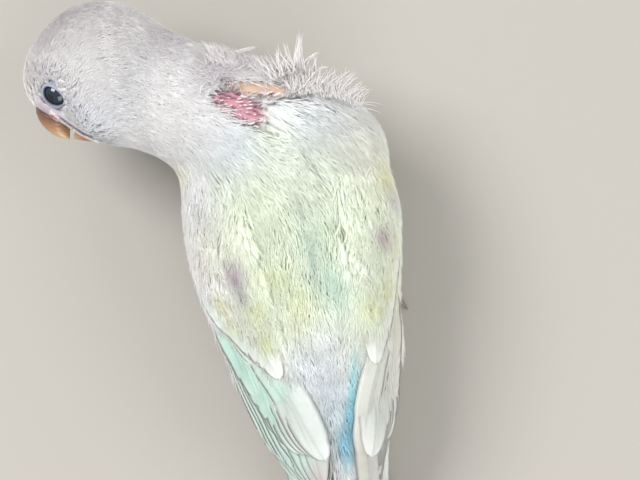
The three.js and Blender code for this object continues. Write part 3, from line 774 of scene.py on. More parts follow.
ARC_ROWS = np.arange(-96, 48)
ARC_ANGLES = np.arange(23) * ARC_STEP
arc_tables = {}
for side in (-1, 1):
    ys, angles = np.meshgrid(ARC_ROWS.astype(float), ARC_ANGLES, indexing="ij")
    steps = length(np.diff(over_guide(side, ys, angles, np.zeros(ys.shape)), axis=1))
    arc_tables[side] = np.concatenate([np.zeros((len(ARC_ROWS), 1)), np.cumsum(steps, 1)], 1)


def angle_at(side, y, around):
    """The angle at which the way round the body from the midline is this long."""
    def in_row(rows):
        table = arc_tables[side][rows]
        i = np.clip((table <= around[:, None]).sum(1), 1, len(ARC_ANGLES) - 1)
        pick = np.arange(len(rows))
        low, high = table[pick, i - 1], table[pick, i]
        return ARC_STEP * (i - 1 + (around - low) / (high - low))
    below = np.clip(np.floor(y).astype(int) - ARC_ROWS[0], 0, len(ARC_ROWS) - 2)
    return lerp(in_row(below), in_row(below + 1), y - np.floor(y))


FLIGHT_STATIONS = np.concatenate([np.linspace(0, 0.8, 15)[:-1], np.linspace(0.8, 1, 12)])
FLIGHT_RING = np.array([(-1, 0), (-0.7, 0.55), (-0.35, 0.9), (-0.07, 1.1), (0, 2.2), (0.07, 1.1), (0.35, 0.9),
                        (0.7, 0.55), (1, 0), (0.5, 0.1), (0, 0.25), (-0.5, 0.1)])


def vane_outline(s):
    rounding = np.sqrt(np.clip(1 - (np.maximum(0, s - 0.6) / 0.401) ** 2, 0, 1))
    return lerp(0.62, 1, smoothstep(s, 0, 0.5)) * rounding


def split_edges(s):
    """Little gaps where barbs have parted: the vane's edge steps back over a short stretch."""
    depth = np.zeros_like(s)
    for _ in range(seeded.integers(2, 5)):
        centre, wide = seeded.uniform(0.35, 0.97), seeded.uniform(0.008, 0.02)
        depth += seeded.uniform(0.05, 0.16) * np.exp(-(((s - centre) / wide) ** 2)) * (seeded.random() < 0.6)
    return 1 - np.clip(depth, 0, 0.45)


def flight_vane(place, half_width, colours, cell, washed):
    """One vane: place(s, offset, up) gives its points, colours(s, across) its paint, cell its map patch."""
    s = FLIGHT_STATIONS[:, None] + 0 * FLIGHT_RING[None, :, 0]
    left, right = split_edges(FLIGHT_STATIONS), split_edges(FLIGHT_STATIONS)
    a = FLIGHT_RING[None, :, 0]
    trim = np.where(a < 0, left[:, None], right[:, None])
    offset = a * trim * half_width * np.maximum(vane_outline(s), 0.02)
    up = FLIGHT_RING[None, :, 1] * VANE_THICKNESS * lerp(1, 0.6, s)
    rings = place(s, offset, up)[None]
    u0, v0, du, dv = cell
    ring_v = 0.02 * np.cos(2.1 * np.arange(len(FLIGHT_RING)))[None]
    map_place = [u0 + du * (0.5 + 0.5 * a + 0 * s), v0 + dv * (0.03 + 0.94 * s + ring_v)]
    uv = np.stack(map_place, -1).reshape(-1, 2)
    vane = np.stack([offset, VANE_LENGTH * s, 0 * s + seeded.random()], -1)
    paint = colours(s, a + 0 * s)
    upward = np.tile(row(0, 0, 1), (rings[0].size // 3, 1))
    marks = plumage(rings.reshape(-1, 3), upward).reshape(paint.shape)
    return rings, lerp(paint, marks, washed), uv, vane


def laid_vane(side, root, tip, lift, start=0.0, end=1.0, swing=0.0):
    """Lays a vane from root to tip, given as y and the way round the body; start to end of it is made."""
    def around(t):
        return lerp(root[1], tip[1], lerp(t, smoothstep(t, 0, 0.9), swing))

    def place(s, offset, up):
        t = lerp(start, end, s)
        lean = (around(t + 0.05) - around(t - 0.05)) / 0.1
        run = np.hypot(tip[0] - root[0], lean)
        y = lerp(root[0], tip[0], t) + offset * lean / run
        arc = around(t) - offset * (tip[0] - root[0]) / run
        shape = y.shape
        y, arc = y.ravel(), arc.ravel()
        height = (lift(s) + VANE_TILT * offset + up).ravel()
        return over_guide(side, y, angle_at(side, y, arc), height).reshape(*shape, 3)
    return place


def vane_paint(tint, tip_tint, base_tint):
    def paint(s, a):
        colour = lerp(base_tint, tint, smoothstep(s, 0.1, 0.6)[..., None])
        colour = lerp(colour, tip_tint, smoothstep(s, 0.78, 1)[..., None])
        edge = smoothstep(np.abs(a), 0.6, 1)[..., None]
        colour = lerp(colour, WHITE, 0.3 * edge)
        return colour * lerp(1, 0.8, np.exp(-((a / 0.08) ** 2)))[..., None]
    return paint


def tier_lift(base, top):
    return lambda s: lerp(base, top, smoothstep(s, 0, 1))


full_lift, greater_lift, lesser_lift = tier_lift(-1, 1.6), tier_lift(-1.8, 1.1), tier_lift(-2.8, 0.4)


def under_lift(s):
    return lerp(-1, 0.9, smoothstep(s, 0, 0.5))


SECONDARY_COUNT, PRIMARY_COUNT, PRIMARY_HALF_WIDTH = 10, 8, 2.9
WING_SPREAD = {-1: 1.06, 1: 0.9}
PRIMARY_TIPS = {-1: (6, 12), 1: (3.5, 2.5)}
GREEN_CREAM, PINK_WHITE = linear("#c9cec5"), linear("#ccbfb9")


def wing_tints(side, t):
    """The tint of a feather, from 0 at the wing's inner edge to 1 at its outer edge."""
    if side < 0:
        return lerp(linear("#cfd8d1"), MINT, 0.58 * smoothstep(np.array(t), 0.1, 0.45))
    return lerp(GREEN_CREAM, linear("#cecaba"), t)


def wing(side):
    """One folded wing. Rows: root, tip, half width, lift, start, end, swing, two tints, share of markings."""
    coat = Coat()
    spread = WING_SPREAD[side]

    def out(inner, outer, t):
        return inner + spread * (outer - inner) * t
    rows = []
    for k in range(PRIMARY_COUNT):
        t = k / (PRIMARY_COUNT - 1)
        root, tip = (lerp(2, 12, t), out(22, 32, t)), (lerp(-47, -63, t**0.8), lerp(*PRIMARY_TIPS[side], t))
        wide, outer, inner = PRIMARY_HALF_WIDTH, wing_tints(side, 1), wing_tints(side, 0.7)
        rows.append((root, tip, wide, under_lift, 0.02, 1, 1, wing_tints(side, 0.3), PINK_WHITE, 0.0))
        rows.append((root, tip, wide, greater_lift, -0.06, 0.42, 1, outer, inner, 0.5))
    for j in range(SECONDARY_COUNT):
        t = j / (SECONDARY_COUNT - 1)
        root = (lerp(-4, 10, t), out(16, 27, t))
        tip = (lerp(-41.5, -24, t**1.8) + seeded.normal(0, 0.5), out(4.2, 17.5, t))
        tint = wing_tints(side, t)
        for start, end, width, lift in ((0.05, 1, 3.7, full_lift), (-0.1, 0.5, 3.3, greater_lift),
                                        (-0.2, 0.24, 2.9, lesser_lift)):
            pale = lerp(tint, WHITE, 0.0 if end == 1 else 0.3)
            tip_tint, marked = lerp(pale, WHITE, 0.3), 0.75 - 0.7 * end
            rows.append((root, tip, width, lift, start, end, 0, pale, tip_tint, marked))
    for i, (root, tip, width, lift, start, end, swing, tint, tip_tint, washed) in enumerate(rows):
        place = laid_vane(side, root, tip, lift, start, end, swing)
        cell = ((i + 0.1) / len(rows), 0.02, 0.8 / len(rows), 0.9)
        coat.add(*flight_vane(place, width, vane_paint(tint, tip_tint, 0.85 * tint), cell, washed))
    return coat.build("wing_left_vanes" if side < 0 else "wing_right_vanes", vane_keratin)


wing_left = wing(-1)
wing_right = wing(1)
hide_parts("wing_left")
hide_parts("wing_right")

# %% [markdown]
# The tail is a short stack of feathers fanned from the rump, the middle pair on top, under a few long
# coverts.

# %% Tail
TAIL_TIP, TAIL_PAIRS = -88.0, 6


def tail_vane(side, step, root, tip, drop):
    def place(s, offset, up):
        y = lerp(root, tip, s)
        x = side * lerp(0.9 + 0.6 * step, 1.2 + 1.15 * step, s) + offset * lerp(0.7, 1, s)
        height = lerp(9.8, 4.6, smoothstep(-y, 40, 92)) - drop - x * x / 70
        return np.stack([REAR_SHIFT + x, y, height + up], -1)
    return place


coat = Coat()
tail_rows = [(side, i, -46, TAIL_TIP + 0.5 * i * i, 3.7, 0.42 * i + (0.2 if side > 0 else 0))
             for i in range(TAIL_PAIRS) for side in (-1, 1)]
tail_rows += [(1, x, -44, tip, 3.0, -0.7 - 0.15 * i)
              for i, (x, tip) in enumerate([(0, -66), (-1.6, -62), (1.6, -61), (0.8, -57), (-0.8, -55)])]
for i, (side, step, root, tip, width, drop) in enumerate(tail_rows):
    tint = lerp(TAIL_GREY, WHITE, 0.3) if i < 12 else lerp(linear("#b9dde6"), WHITE, 0.4)
    cell = ((i + 0.1) / len(tail_rows), 0.02, 0.8 / len(tail_rows), 0.9)
    colours = vane_paint(tint, lerp(tint, WHITE, 0.4), 0.85 * tint)
    coat.add(*flight_vane(tail_vane(side, step, root, tip, drop), width, colours, cell, 0.0))
tail = coat.build("tail_vanes", vane_keratin)
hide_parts("tail")

# %% [markdown]
# The small feathers come next. Each has a soft vane and a fringe of loose barbs at its tip, which is what
# blurs one feather into the next on a living bird. Feathers that the folded wings hide are left out.

# %% Body feathers
BODY_SPACING, WING_DEPTH, BODY_STRANDS, COVERT_STRANDS = 1.55, 9.0, 9, 7
VANE_SHADES = np.array([0.9, 0.95, 0.98, 1.0, 1.02])
COVERT_SHADES = np.array([0.86, 0.93, 0.98, 1.01, 1.04])


def tree_of(*pieces):
    points, faces, base = [], [], 0
    for piece in pieces:
        mesh = piece.data
        co = np.empty(len(mesh.vertices) * 3, np.float32)
        mesh.vertices.foreach_get("co", co)
        loops = np.empty(len(mesh.loops), np.int32)
        mesh.loops.foreach_get("vertex_index", loops)
        points.append(co.reshape(-1, 3) / MM)
        faces.append(loops.reshape(-1, 3) + base)
        base += len(mesh.vertices)
    return BVHTree.FromPolygons(np.concatenate(points).tolist(), np.concatenate(faces).tolist())


wing_tree = tree_of(wing_left, wing_right)
NECK_T = along_spine(np.array([NECK_BASE]))[0][0]
NAPE_T = along_spine(np.array([NECK_TOP]))[0][0]
print("neck from", round(NAPE_T, 3), "to", round(NECK_T, 3), "along the spine")


def hidden(p, n):
    """Whether a folded wing lies right over each place."""
    hits = [wing_tree.ray_cast(Vector(a), Vector(b), WING_DEPTH)[0] for a, b in zip(p, n)]
    return np.array([hit is not None for hit in hits], bool)


def short_of_bare(root, way, size):
    """The reach of feathers, cut so that none lies over bare skin."""
    free = np.full(len(root), 1.2)
    for s in np.linspace(1.15, 0, 14):
        free = np.where(bareness(root + way * (s * size)[:, None])[0] > 0.3, s, free)
    return np.where(free < 1.18, np.maximum(0.85 * free * size, 0.5), size)


def body_places(p):
    t = along_spine(p)[0]
    return (t > NECK_T - 0.03) & (bareness(p)[0] < 0.35) & (p[:, 2] > 0.9)


roots = spread_roots(skin_points, skin_faces, BODY_SPACING, body_places)
roots = onto(coat_form, roots, 0)
normals = unit(slope(coat_form, roots))
ways = lie(roots, normals)
covered = hidden(roots, normals) & hidden(onto(coat_form, roots + 4 * ways, 0), normals)
roots = roots[~covered]
roots = roots[np.argsort(roots[:, 1])]
normals = unit(slope(coat_form, roots))
ways = lie(roots, normals)
ways = unit(ways + 0.38 * drift(roots, 3.4) * np.cross(normals, ways) + seeded.normal(0, 0.06, roots.shape))
root_uv = unwrap(roots)
root_tone = seeded.normal(1, 0.03, (len(roots), 1))
on_arm = smoothstep(-np.minimum(arm(-1, 1)(roots), arm(1, 0)(roots)), -1.5, 0) * (roots[:, 2] > 14)
reach = lerp(9.0, 6.0, on_arm) * seeded.uniform(0.85, 1.15, len(roots))
reach = lerp(reach, 12, smoothstep(-roots[:, 1], 22, 40))
reach = short_of_bare(roots, ways, reach)
wide = np.minimum(lerp(1.9, 1.35, on_arm), 0.3 * reach)
lift = lerp(0.12, 0.4, on_arm) + 0.25 * seeded.random(len(roots))
print(len(roots), "body feathers")


def feather_height(s):
    return -1.2 + 0.75 * s**0.8


def body_pieces(chosen, name):
    coat = Coat()
    r, w, size = roots[chosen], ways[chosen], reach[chosen]
    path, along, out = walk(coat_form, r, w, size * 0.78, 5, feather_height)
    profile = np.array([0.35, 0.9, 1.0, 0.75, 0.12])[None] * wide[chosen][:, None]
    thick = np.array([0.1, 0.12, 0.11, 0.09, 0.04])[None] * np.ones((len(r), 1))
    paint = markings(path, out) * VANE_SHADES[:, None] * root_tone[chosen][:, None]
    coat.lay((path, along, out), profile, thick, RING_FLAT, paint, root_uv[chosen], size)
    strands(coat, coat_form, path[:, 1], along[:, 1], size * 0.95, 0.14, lift[chosen], 0.16, root_uv[chosen],
            BODY_STRANDS, 0.18, 1.1)
    return coat.build(name, down_keratin)


def laid_coverts(side, count, name):
    """Soft small coverts over the fore part of a folded wing, on top of its vanes."""
    y = seeded.uniform(-17, 19, count)
    outer = lerp(27, 33, smoothstep(y, -15, 8)) * (0.5 + 0.5 * WING_SPREAD[side])
    inner = lerp(5, 10, smoothstep(y, -15, 12))
    arc = lerp(inner, outer, seeded.random(count) ** 0.8)

    def ramp(p):
        away = np.abs(p[..., 0] - REAR_SHIFT * smoothstep(-p[..., 1], 0, 40))
        return smoothstep(away, 5, 13) * (1 - smoothstep(p[..., 1], 3, 17))

    def top(p):
        return lerp(coat_form(p) - 0.1, guide_form(p) - 1.0, ramp(p))
    r = over_guide(side, y, angle_at(side, y, arc), np.zeros(count))
    r = onto(top, r, -0.8)
    n = unit(slope(top, r))
    w = level(np.tile(row(-side * 0.1, -1, -0.1), (count, 1)), n)
    w = unit(w + 0.3 * drift(r, 2.8) * np.cross(n, w) + seeded.normal(0, 0.06, r.shape))
    size = lerp(7.5, 5.5, smoothstep(y, -12, 10)) * seeded.uniform(0.8, 1.15, count)
    coat = Coat()
    path, along, out = walk(top, r, w, size * 0.8, 5, lambda s: -0.9 + 0.8 * s**0.7)
    profile = np.array([0.3, 0.85, 1.0, 0.75, 0.12])[None] * lerp(1.7, 1.1, smoothstep(y, -8, 12))[:, None]
    profile = profile * lerp(0.4, 1, smoothstep(ramp(r), 0, 0.5))[:, None]
    paint = markings(path, out) * COVERT_SHADES[:, None]
    uv = unwrap(r)
    coat.lay((path, along, out), profile, 0.08 + 0 * profile, RING_FLAT, paint, uv, size)
    strands(coat, top, path[:, 1], along[:, 1], size * 0.9, 0.2, 0.15 + 0.4 * seeded.random(count), 0.12, uv,
            COVERT_STRANDS, 0.3, 0.6)
    return coat.build(name, down_keratin)


laid_coverts(-1, 820, "coverts_left")
laid_coverts(1, 740, "coverts_right")
groups = np.digitize(roots[:, 1], [-20, -4, 8, 18, 28])
for g, part in enumerate(("rump", "loin", "back", "mantle", "shoulder", "breast")):
    body_pieces(np.flatnonzero(groups == g), "coat_" + part)

# %% [markdown]
# The head and neck wear fine hair-like feathers with no vane to be seen. Tufts of thin strands do that:
# very short round the bill and the eyes, longer over the crown, and long and silky down the neck.

# %% Head and neck plumage
HEAD_STRANDS = 8


def clear_of_face(p):
    """Whether a place is off the lids, the bare flesh before the eyes and the bill."""
    ok = np.ones(len(p), bool)
    for centre, _ in eyes:
        ok &= length(p - centre) > EYE_RADIUS + 0.6
    q = (p - HEAD_CENTRE) @ HEAD_AXES.T
    ok &= ~((q[:, 0] > lerp(8.4, 7.6, smoothstep(-q[:, 2], -3, 1))) & (q[:, 2] < 1.8) & (q[:, 2] > -3.4))
    ok &= ~((q[:, 0] > 8.4) & (q[:, 2] < 1.8) & (q[:, 2] > -10.3))
    ok &= ~((q[:, 0] > 9.6) & (q[:, 2] < 3.8))
    return ok & (bareness(p)[0] < 0.35)


def head_zone(low, high, spacing, size, spread, radius, rise, name):
    def keep(p):
        t = along_spine(p)[0]
        return (t >= low) & (t < high) & clear_of_face(p)
    r = onto(coat_form, spread_roots(skin_points, skin_faces, spacing, keep), -0.3)
    n = unit(slope(coat_form, r))
    w = lie(r, n)
    ruffled = np.exp(-((length(r - in_head(-4, 3, 9.5)) / 7) ** 2))[:, None]
    w = unit(w + (0.14 + 0.5 * ruffled) * drift(r, 2.6, 1.0) * np.cross(n, w))
    for centre, _ in eyes:
        close = np.exp(-(((length(r - centre) - 3.6) / 0.9) ** 2))[:, None]
        w = unit(w + 1.6 * close * unit(r - centre))
    w = level(w, n)
    near = smoothstep(length(r - BILL_BASE), 4, 14)
    for centre, _ in eyes:
        near = np.minimum(near, smoothstep(length(r - centre), 3.5, 8))
    coat = Coat()
    reach_here = short_of_bare(r, w, lerp(0.9, size, near))
    strands(coat, coat_form, r, w, reach_here, spread, rise * lerp(0.1, 1, near), radius * lerp(0.5, 1, near),
            unwrap(r), HEAD_STRANDS, scatter=0.22, sink=0.5, flat=0.28)
    print(name, len(r), "tufts")
    return coat.build(name, down_keratin)


FACE_T = along_spine(np.array([in_head(4.5, 0, 2)]))[0][0]
# from, to, spacing, length, fan, radius, lift
for zone in ((-1.0, FACE_T, 0.8, 2.8, 0.1, 0.13, 0.14, "coat_face"),
             (FACE_T, NAPE_T - 0.1, 0.8, 4.0, 0.1, 0.14, 0.2, "coat_cheeks"),
             (NAPE_T - 0.1, NAPE_T, 0.92, 5.2, 0.12, 0.15, 0.35, "coat_crown"),
             (NAPE_T, NECK_T + 0.02, 1.0, 7.0, 0.12, 0.16, 0.4, "coat_neck")):
    head_zone(*zone)

# the cheek ends at the bill in a bright raised rim
coat = Coat()
rim = catmull([(8.2, 4.6, -2.2), (8.5, 4.6, -4.2), (8.5, 4.2, -6.6), (8.2, 3.0, -10)], np.linspace(0, 1, 46))
rim = np.concatenate([HEAD_CENTRE + (rim * row(1, side, 1)) @ HEAD_AXES for side in EYE_SIDES])
rim = onto(coat_form, rim, -0.2, 6)
n = unit(slope(coat_form, rim))
strands(coat, coat_form, rim, lie(rim, n), 1.7, 0.2, 0.45, 0.09, unwrap(rim), HEAD_STRANDS, 0.2, 0.2, 0.3,
        0.5, linear("#ffffff"))
coat.build("cheek_rim", down_keratin)

# %% [markdown]
# At the right shoulder a tuft of ruffled feathers stands off the back. It is made as on the solid, from
# flat tapered locks that lie forward and sag at their ends, but each lock here is a bundle of fine
# strands on a thin vane.

# %% Tuft
TUFT_LOCKS, LOCK_STRANDS, FLUFF_PLACES, FLUFF_STRANDS = 9, 48, 620, 8


def tuft_line(i, s, sway=0.0, stretch=1.0):
    """Points along one lock, its direction across, and its half width, as in the solids."""
    t = i / (TUFT_LOCKS - 1)
    turn, bend = lerp(0.4, -0.5, t) + 0.12 * math.sin(5 * i), 0.35 * math.sin(2.9 * i + 0.4)
    long = math.exp(-(((t - 0.42) / 0.09) ** 2))
    size = (12.4 + 1.3 * math.sin(4.3 * i + 0.6) + 5.4 * long) * stretch
    root = onto(torso_form, row(lerp(0.5, 12, t), lerp(27.5, 26, t) + math.sin(2.4 * i), 40)[None], 0, 6)[0]
    heading = turn + (bend + sway) * s
    ahead = np.stack([-np.sin(heading), np.cos(heading), 0 * s], -1)
    across = np.stack([ahead[:, 1], -ahead[:, 0], 0 * s], -1)
    sag = size * (0.12 * s + 0.3 * s * s)
    centre = root + ahead * (s * size)[:, None]
    centre[:, 2] = root[2] - sag + lerp(-1.2, 0.9, smoothstep(s, 0, 0.3))
    return centre, across, lerp(0.3, 3.1, np.sqrt(np.clip(1 - s**2.6, 0, 1)))


coat = Coat()
LOCK_STATIONS = np.linspace(0, 1, 7)
LOCK_TAPER = np.array([0.8, 1.1, 1.2, 1.1, 0.9, 0.6, 0.15])
LOCK_SHADES = np.linspace(0.88, 1.05, 7)
PINK_TINT = linear("#e6dad8")


def add_lock_strand(path, across, half, tint):
    along = unit(np.gradient(path, axis=0))[None]
    out = unit(np.cross(across, along[0]))[None]
    wide = (half * LOCK_TAPER)[None]
    paint = tint * LOCK_SHADES[None, :, None]
    coat.lay((path[None], along, out), wide, 0.6 * wide, RING_ROUND, paint, unwrap(path[:1]), row(12))


for i in range(TUFT_LOCKS):
    for k in range(LOCK_STRANDS):
        place = seeded.uniform(-1, 1)
        shown = lerp(0.58, seeded.uniform(0.75, 1.0), LOCK_STATIONS)
        centre, across, half = tuft_line(i, shown, seeded.normal(0, 0.3))
        half = half * (1 - 0.55 * LOCK_STATIONS)
        path = centre + across * (half * place)[:, None]
        path[:, 2] += seeded.uniform(-0.8, 0.5) * (1 - 0.3 * LOCK_STATIONS) - 0.3 * place**2
        if bareness(path[1:5])[0].max() < 0.4:
            half = seeded.uniform(0.05, 0.11)
            add_lock_strand(path, across, half, lerp(WHITE, PINK_TINT, 0.7 * seeded.random()))
# fluff on the shoulder's front edge
fluff = np.stack([seeded.uniform(-10, 12, FLUFF_PLACES), np.full(FLUFF_PLACES, 42.0),
                  seeded.uniform(25, 38, FLUFF_PLACES)], 1)
fluff = onto(coat_form, fluff, -0.4, 8)
fluff = fluff[(bareness(fluff)[0] < 0.25) & (fluff[:, 1] > 36.2 - 0.3 * fluff[:, 0])]
n = unit(slope(coat_form, fluff))
w = unit(0.8 * row(0.1, 1, -0.1) + 0.45 * n + seeded.normal(0, 0.3, fluff.shape))
reach_here = short_of_bare(fluff, w, seeded.uniform(3, 5.2, len(fluff)))
rise = 0.3 + 1.6 * seeded.random(len(fluff))
strands(coat, coat_form, fluff, w, reach_here, 0.5, rise, 0.08, unwrap(fluff), FLUFF_STRANDS, 0.9, 0.5,
        tint=lerp(WHITE, PINK_TINT, 0.5))
# a few long wisps: where each starts, heads and bends, how long and how wide at its base it is
WISPS = (
    (5.6, 36.2, -0.25, 0.05, 10.4, 1.9), (5.0, 37.0, 0.05, 0.15, 7.4, 0.4),
    (7.3, 37.6, -0.3, -1.1, 5.4, 0.6), (8.8, 36.6, -0.5, 0.35, 3.8, 0.7),
    (7.4, 36.6, -1.2, -0.4, 5.4, 0.6), (-0.5, 38.5, 0.2, 0.3, 3.6, 0.7),
    (2.6, 37.6, 0.15, -0.2, 5.0, 1.3), (-7.6, 43.0, -1.1, -0.5, 7.0, 0.9),
    (-4.4, 41.2, -1.2, -0.7, 5.0, 0.8),
)
for x, y, heading, bend, size, half in WISPS:
    for k in range(14 + int(12 * half)):
        turn = heading + bend * LOCK_STATIONS + seeded.normal(0, 0.03)
        ahead = np.stack([-np.sin(turn), np.cos(turn), 0 * turn], -1)
        across = np.stack([ahead[:, 1], -ahead[:, 0], 0 * turn], -1)
        reach_here = size * seeded.uniform(0.7, 1.0)
        start_height = 29.0 if x < -3 else 33.0
        path = row(x, y, start_height) + np.cumsum(ahead, 0) * reach_here / 7
        path[:, 2] -= reach_here * (0.1 * LOCK_STATIONS + 0.2 * LOCK_STATIONS**2)
        path += (half * seeded.uniform(-1, 1) * (1 - LOCK_STATIONS) ** 1.6)[:, None] * across
        path[:, 2] += seeded.uniform(-0.5, 0.4) * (1 - LOCK_STATIONS)
        add_lock_strand(path, across, 0.09, lerp(WHITE, PINK_TINT, 0.3 * seeded.random()))
coat.build("tuft", down_keratin)

# %% [markdown]
# Long thin strands also trail from the nape over the bare shoulder, and new feathers break through the
# bare skin as short pale pins in dark sheaths. A bare patch of a young bird looks like that while its
# coat grows in.

# %% Nape strands and pin feathers
NAPE_TUFTS, PIN_PLACES = 60, 150
coat = Coat()
nape_roots = np.stack([seeded.uniform(-15, -6, NAPE_TUFTS), seeded.uniform(36, 42, NAPE_TUFTS),
                       np.full(NAPE_TUFTS, 38.0)], 1)
nape_roots = onto(coat_form, nape_roots, -0.2, 5)
n = unit(slope(coat_form, nape_roots))
w = unit(lie(nape_roots, n) + 0.35 * row(0.6, 0.5, 0) + seeded.normal(0, 0.2, nape_roots.shape))
reach_here = short_of_bare(nape_roots, w, np.full(NAPE_TUFTS, 7.0))
strands(coat, coat_form, nape_roots, w, reach_here, 0.2, 1.2, 0.08, unwrap(nape_roots), 5, 0.9)
coat.build("nape_strands", down_keratin)

coat = Coat()
pins = np.stack([seeded.uniform(-12, 1.5, PIN_PLACES), seeded.uniform(28, 36.5, PIN_PLACES),
                 np.full(PIN_PLACES, 40.0)], 1)
pins = onto(coat_form, pins, -0.55, 5)
pins = pins[bareness(pins)[0] > 0.5]
n = unit(slope(coat_form, pins))
w = unit(lie(pins, n) + 1.1 * n + seeded.normal(0, 0.25, pins.shape))
count = len(pins)
size = seeded.uniform(0.9, 2.4, (count, 1, 1))
path = pins[:, None] + w[:, None] * (size * np.linspace(0, 1, 4)[None, :, None])
along = np.repeat(w[:, None], 4, 1)
out = unit(np.cross(along, np.cross(n[:, None] + 0.01, along)))
thick = np.array([0.26, 0.24, 0.2, 0.05])[None] * seeded.uniform(0.7, 1.2, (count, 1))
sheath = lerp(linear("#e8d9d8"), linear("#8d6a78"), (seeded.random((count, 1)) < 0.35) * 1.0)
paint = sheath[:, None] * np.array([0.8, 0.9, 1.0, 1.1])[None, :, None]
coat.lay((path, along, out), thick, thick, RING_ROUND, paint, unwrap(pins), thick[:, 0])
coat.build("pin_feathers", down_keratin)
print(count, "pin feathers")

# %% [markdown]
# The bill is horn over bone: two hooked halves. Each is lofted between its upper and its lower edge as
# seen from the side, with enough rings to look smooth, and fine growth ridges run across it.

# %% Bill
CULMEN = [(8.4, 5.0), (11.6, 5.2), (13.7, 3.4), (14.5, 0.8), (14.4, -2.0), (13.4, -4.6)]
UPPER_EDGE = [(7.2, -2.9), (9.0, -3.1), (10.4, -3.2), (11.4, -3.5), (12.2, -4.0), (13.0, -4.8)]
LOWER_EDGE = [(6.0, -4.5), (8.4, -4.5), (10.3, -4.9), (11.7, -5.6)]
CHIN_LINE = [(4.4, -10.6), (7.4, -10.8), (10.2, -9.0), (11.9, -6.2)]
BILL_HALF_WIDTH = 3.9


def bill_half(name, upper, lower, width_at, tints):
    """One half of the bill, lofted from the face to its tip and painted with tints along the same way."""
    t = np.linspace(0, 1, 48)
    angle = np.linspace(0, 2 * math.pi, 41)[:-1]
    top, bottom = catmull(upper, t), catmull(lower, t)
    middle, half = (top + bottom) / 2, (top - bottom) / 2
    ridge = 1 + 0.012 * np.sin(t * 60) + 0.01 * np.sin(t * 23 + 1)
    side_view = middle[:, None] + half[:, None] * (np.cos(angle) * ridge[:, None])[..., None]
    across = (width_at(t) * ridge)[:, None] * np.sin(angle)
    rings = HEAD_CENTRE + np.stack([side_view[..., 0], across, side_view[..., 1]], -1) @ HEAD_AXES
    paint = catmull([linear(c) for c in tints], t)[:, None] * np.ones((1, len(angle), 1))
    faces = lofts(rings[None])
    return make_object(name, rings.reshape(-1, 3), faces, bill_horn, paint.reshape(-1, 3))


bill_horn = grained_material("bill horn", 0.9, 0.8, 1.1, 0.4, 0.12, Roughness=0.34, IOR=1.54,
                             Coat_Weight=0.25, Coat_Roughness=0.2, Subsurface_Weight=0.1,
                             Subsurface_Scale=0.001)
upper_bill = bill_half("upper_bill", CULMEN, UPPER_EDGE,
                       lambda t: BILL_HALF_WIDTH * (1 - t**2.2) ** 0.75 + 0.16,
                       ("#2e2422", "#473530", "#765440", "#a17954", "#bf9e76", "#d8c8a0"))
lower_bill = bill_half("lower_bill", LOWER_EDGE, CHIN_LINE,
                       lambda t: 0.86 * BILL_HALF_WIDTH * (1 - 0.5 * t**2),
                       ("#6a4a3c", "#82583f", "#97694a", "#a67c5c", "#b89a80"))
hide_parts("bill_upper")
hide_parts("bill_lower")

# %% [markdown]
# The cere is the soft swelling over the bill that holds the nostrils. It is one fleshy form in which two
# round holes are cut, and it blends into the face.

# %% Cere
SWELLING_DEPTH, SWELLING_RADIUS, CERE_CELL = 1.1, 1.75, 0.36
swellings = [spot - SWELLING_DEPTH * unit(slope(whole_form, spot[None]))[0] for spot in nostrils]
cere_form = melt(
    1.2,
    *[(lambda p, c=centre: length(p - c) - SWELLING_RADIUS) for centre in swellings],
    head_shape(ellipsoid((9.4, 0, 2.6), (2.0, 3.6, 2.6))),
)
cere_open = cere_form
for nostril in nostrils:
    cere_open = carve(0.5, cere_open, lambda p, c=nostril: length(p - c) - NOSTRIL_RADIUS)
reach_low, reach_high = in_head(9.2, 0, 0.5) - 9, in_head(9.2, 0, 0.5) + 9
points, faces = mesh_of_form(cere_open, reach_low, reach_high, CERE_CELL)
near_nostril = np.min([length(points - c) for c in nostrils], 0)
FLESH, NARIS_RED = linear("#cdc1c3"), linear("#5f2a2c")
paint = lerp(FLESH, linear("#bf9896"), smoothstep(-near_nostril, -1.5, -0.8)[:, None])
paint = lerp(paint, NARIS_RED, smoothstep(-near_nostril, -0.95, -0.62)[:, None])
make_object("cere", points, faces, skin_hide, paint)

# %% [markdown]
# A bird's eye is a smooth wet ball deep in the head, with a nearly black iris in a young bird. Round it
# runs a ring of fine grains, the lid's bare edge, which is thicker behind the eye.

# %% Eyes and lids
eye_wet, *_ = painted_material("wet cornea", 0.5, 0.9, 1.1, Roughness=0.04, IOR=1.38, Coat_Weight=1.0,
                               Coat_Roughness=0.02, Coat_IOR=1.38)
LID_GREY, LID_BLUE = linear("#a5a8b4"), linear("#6e768c")
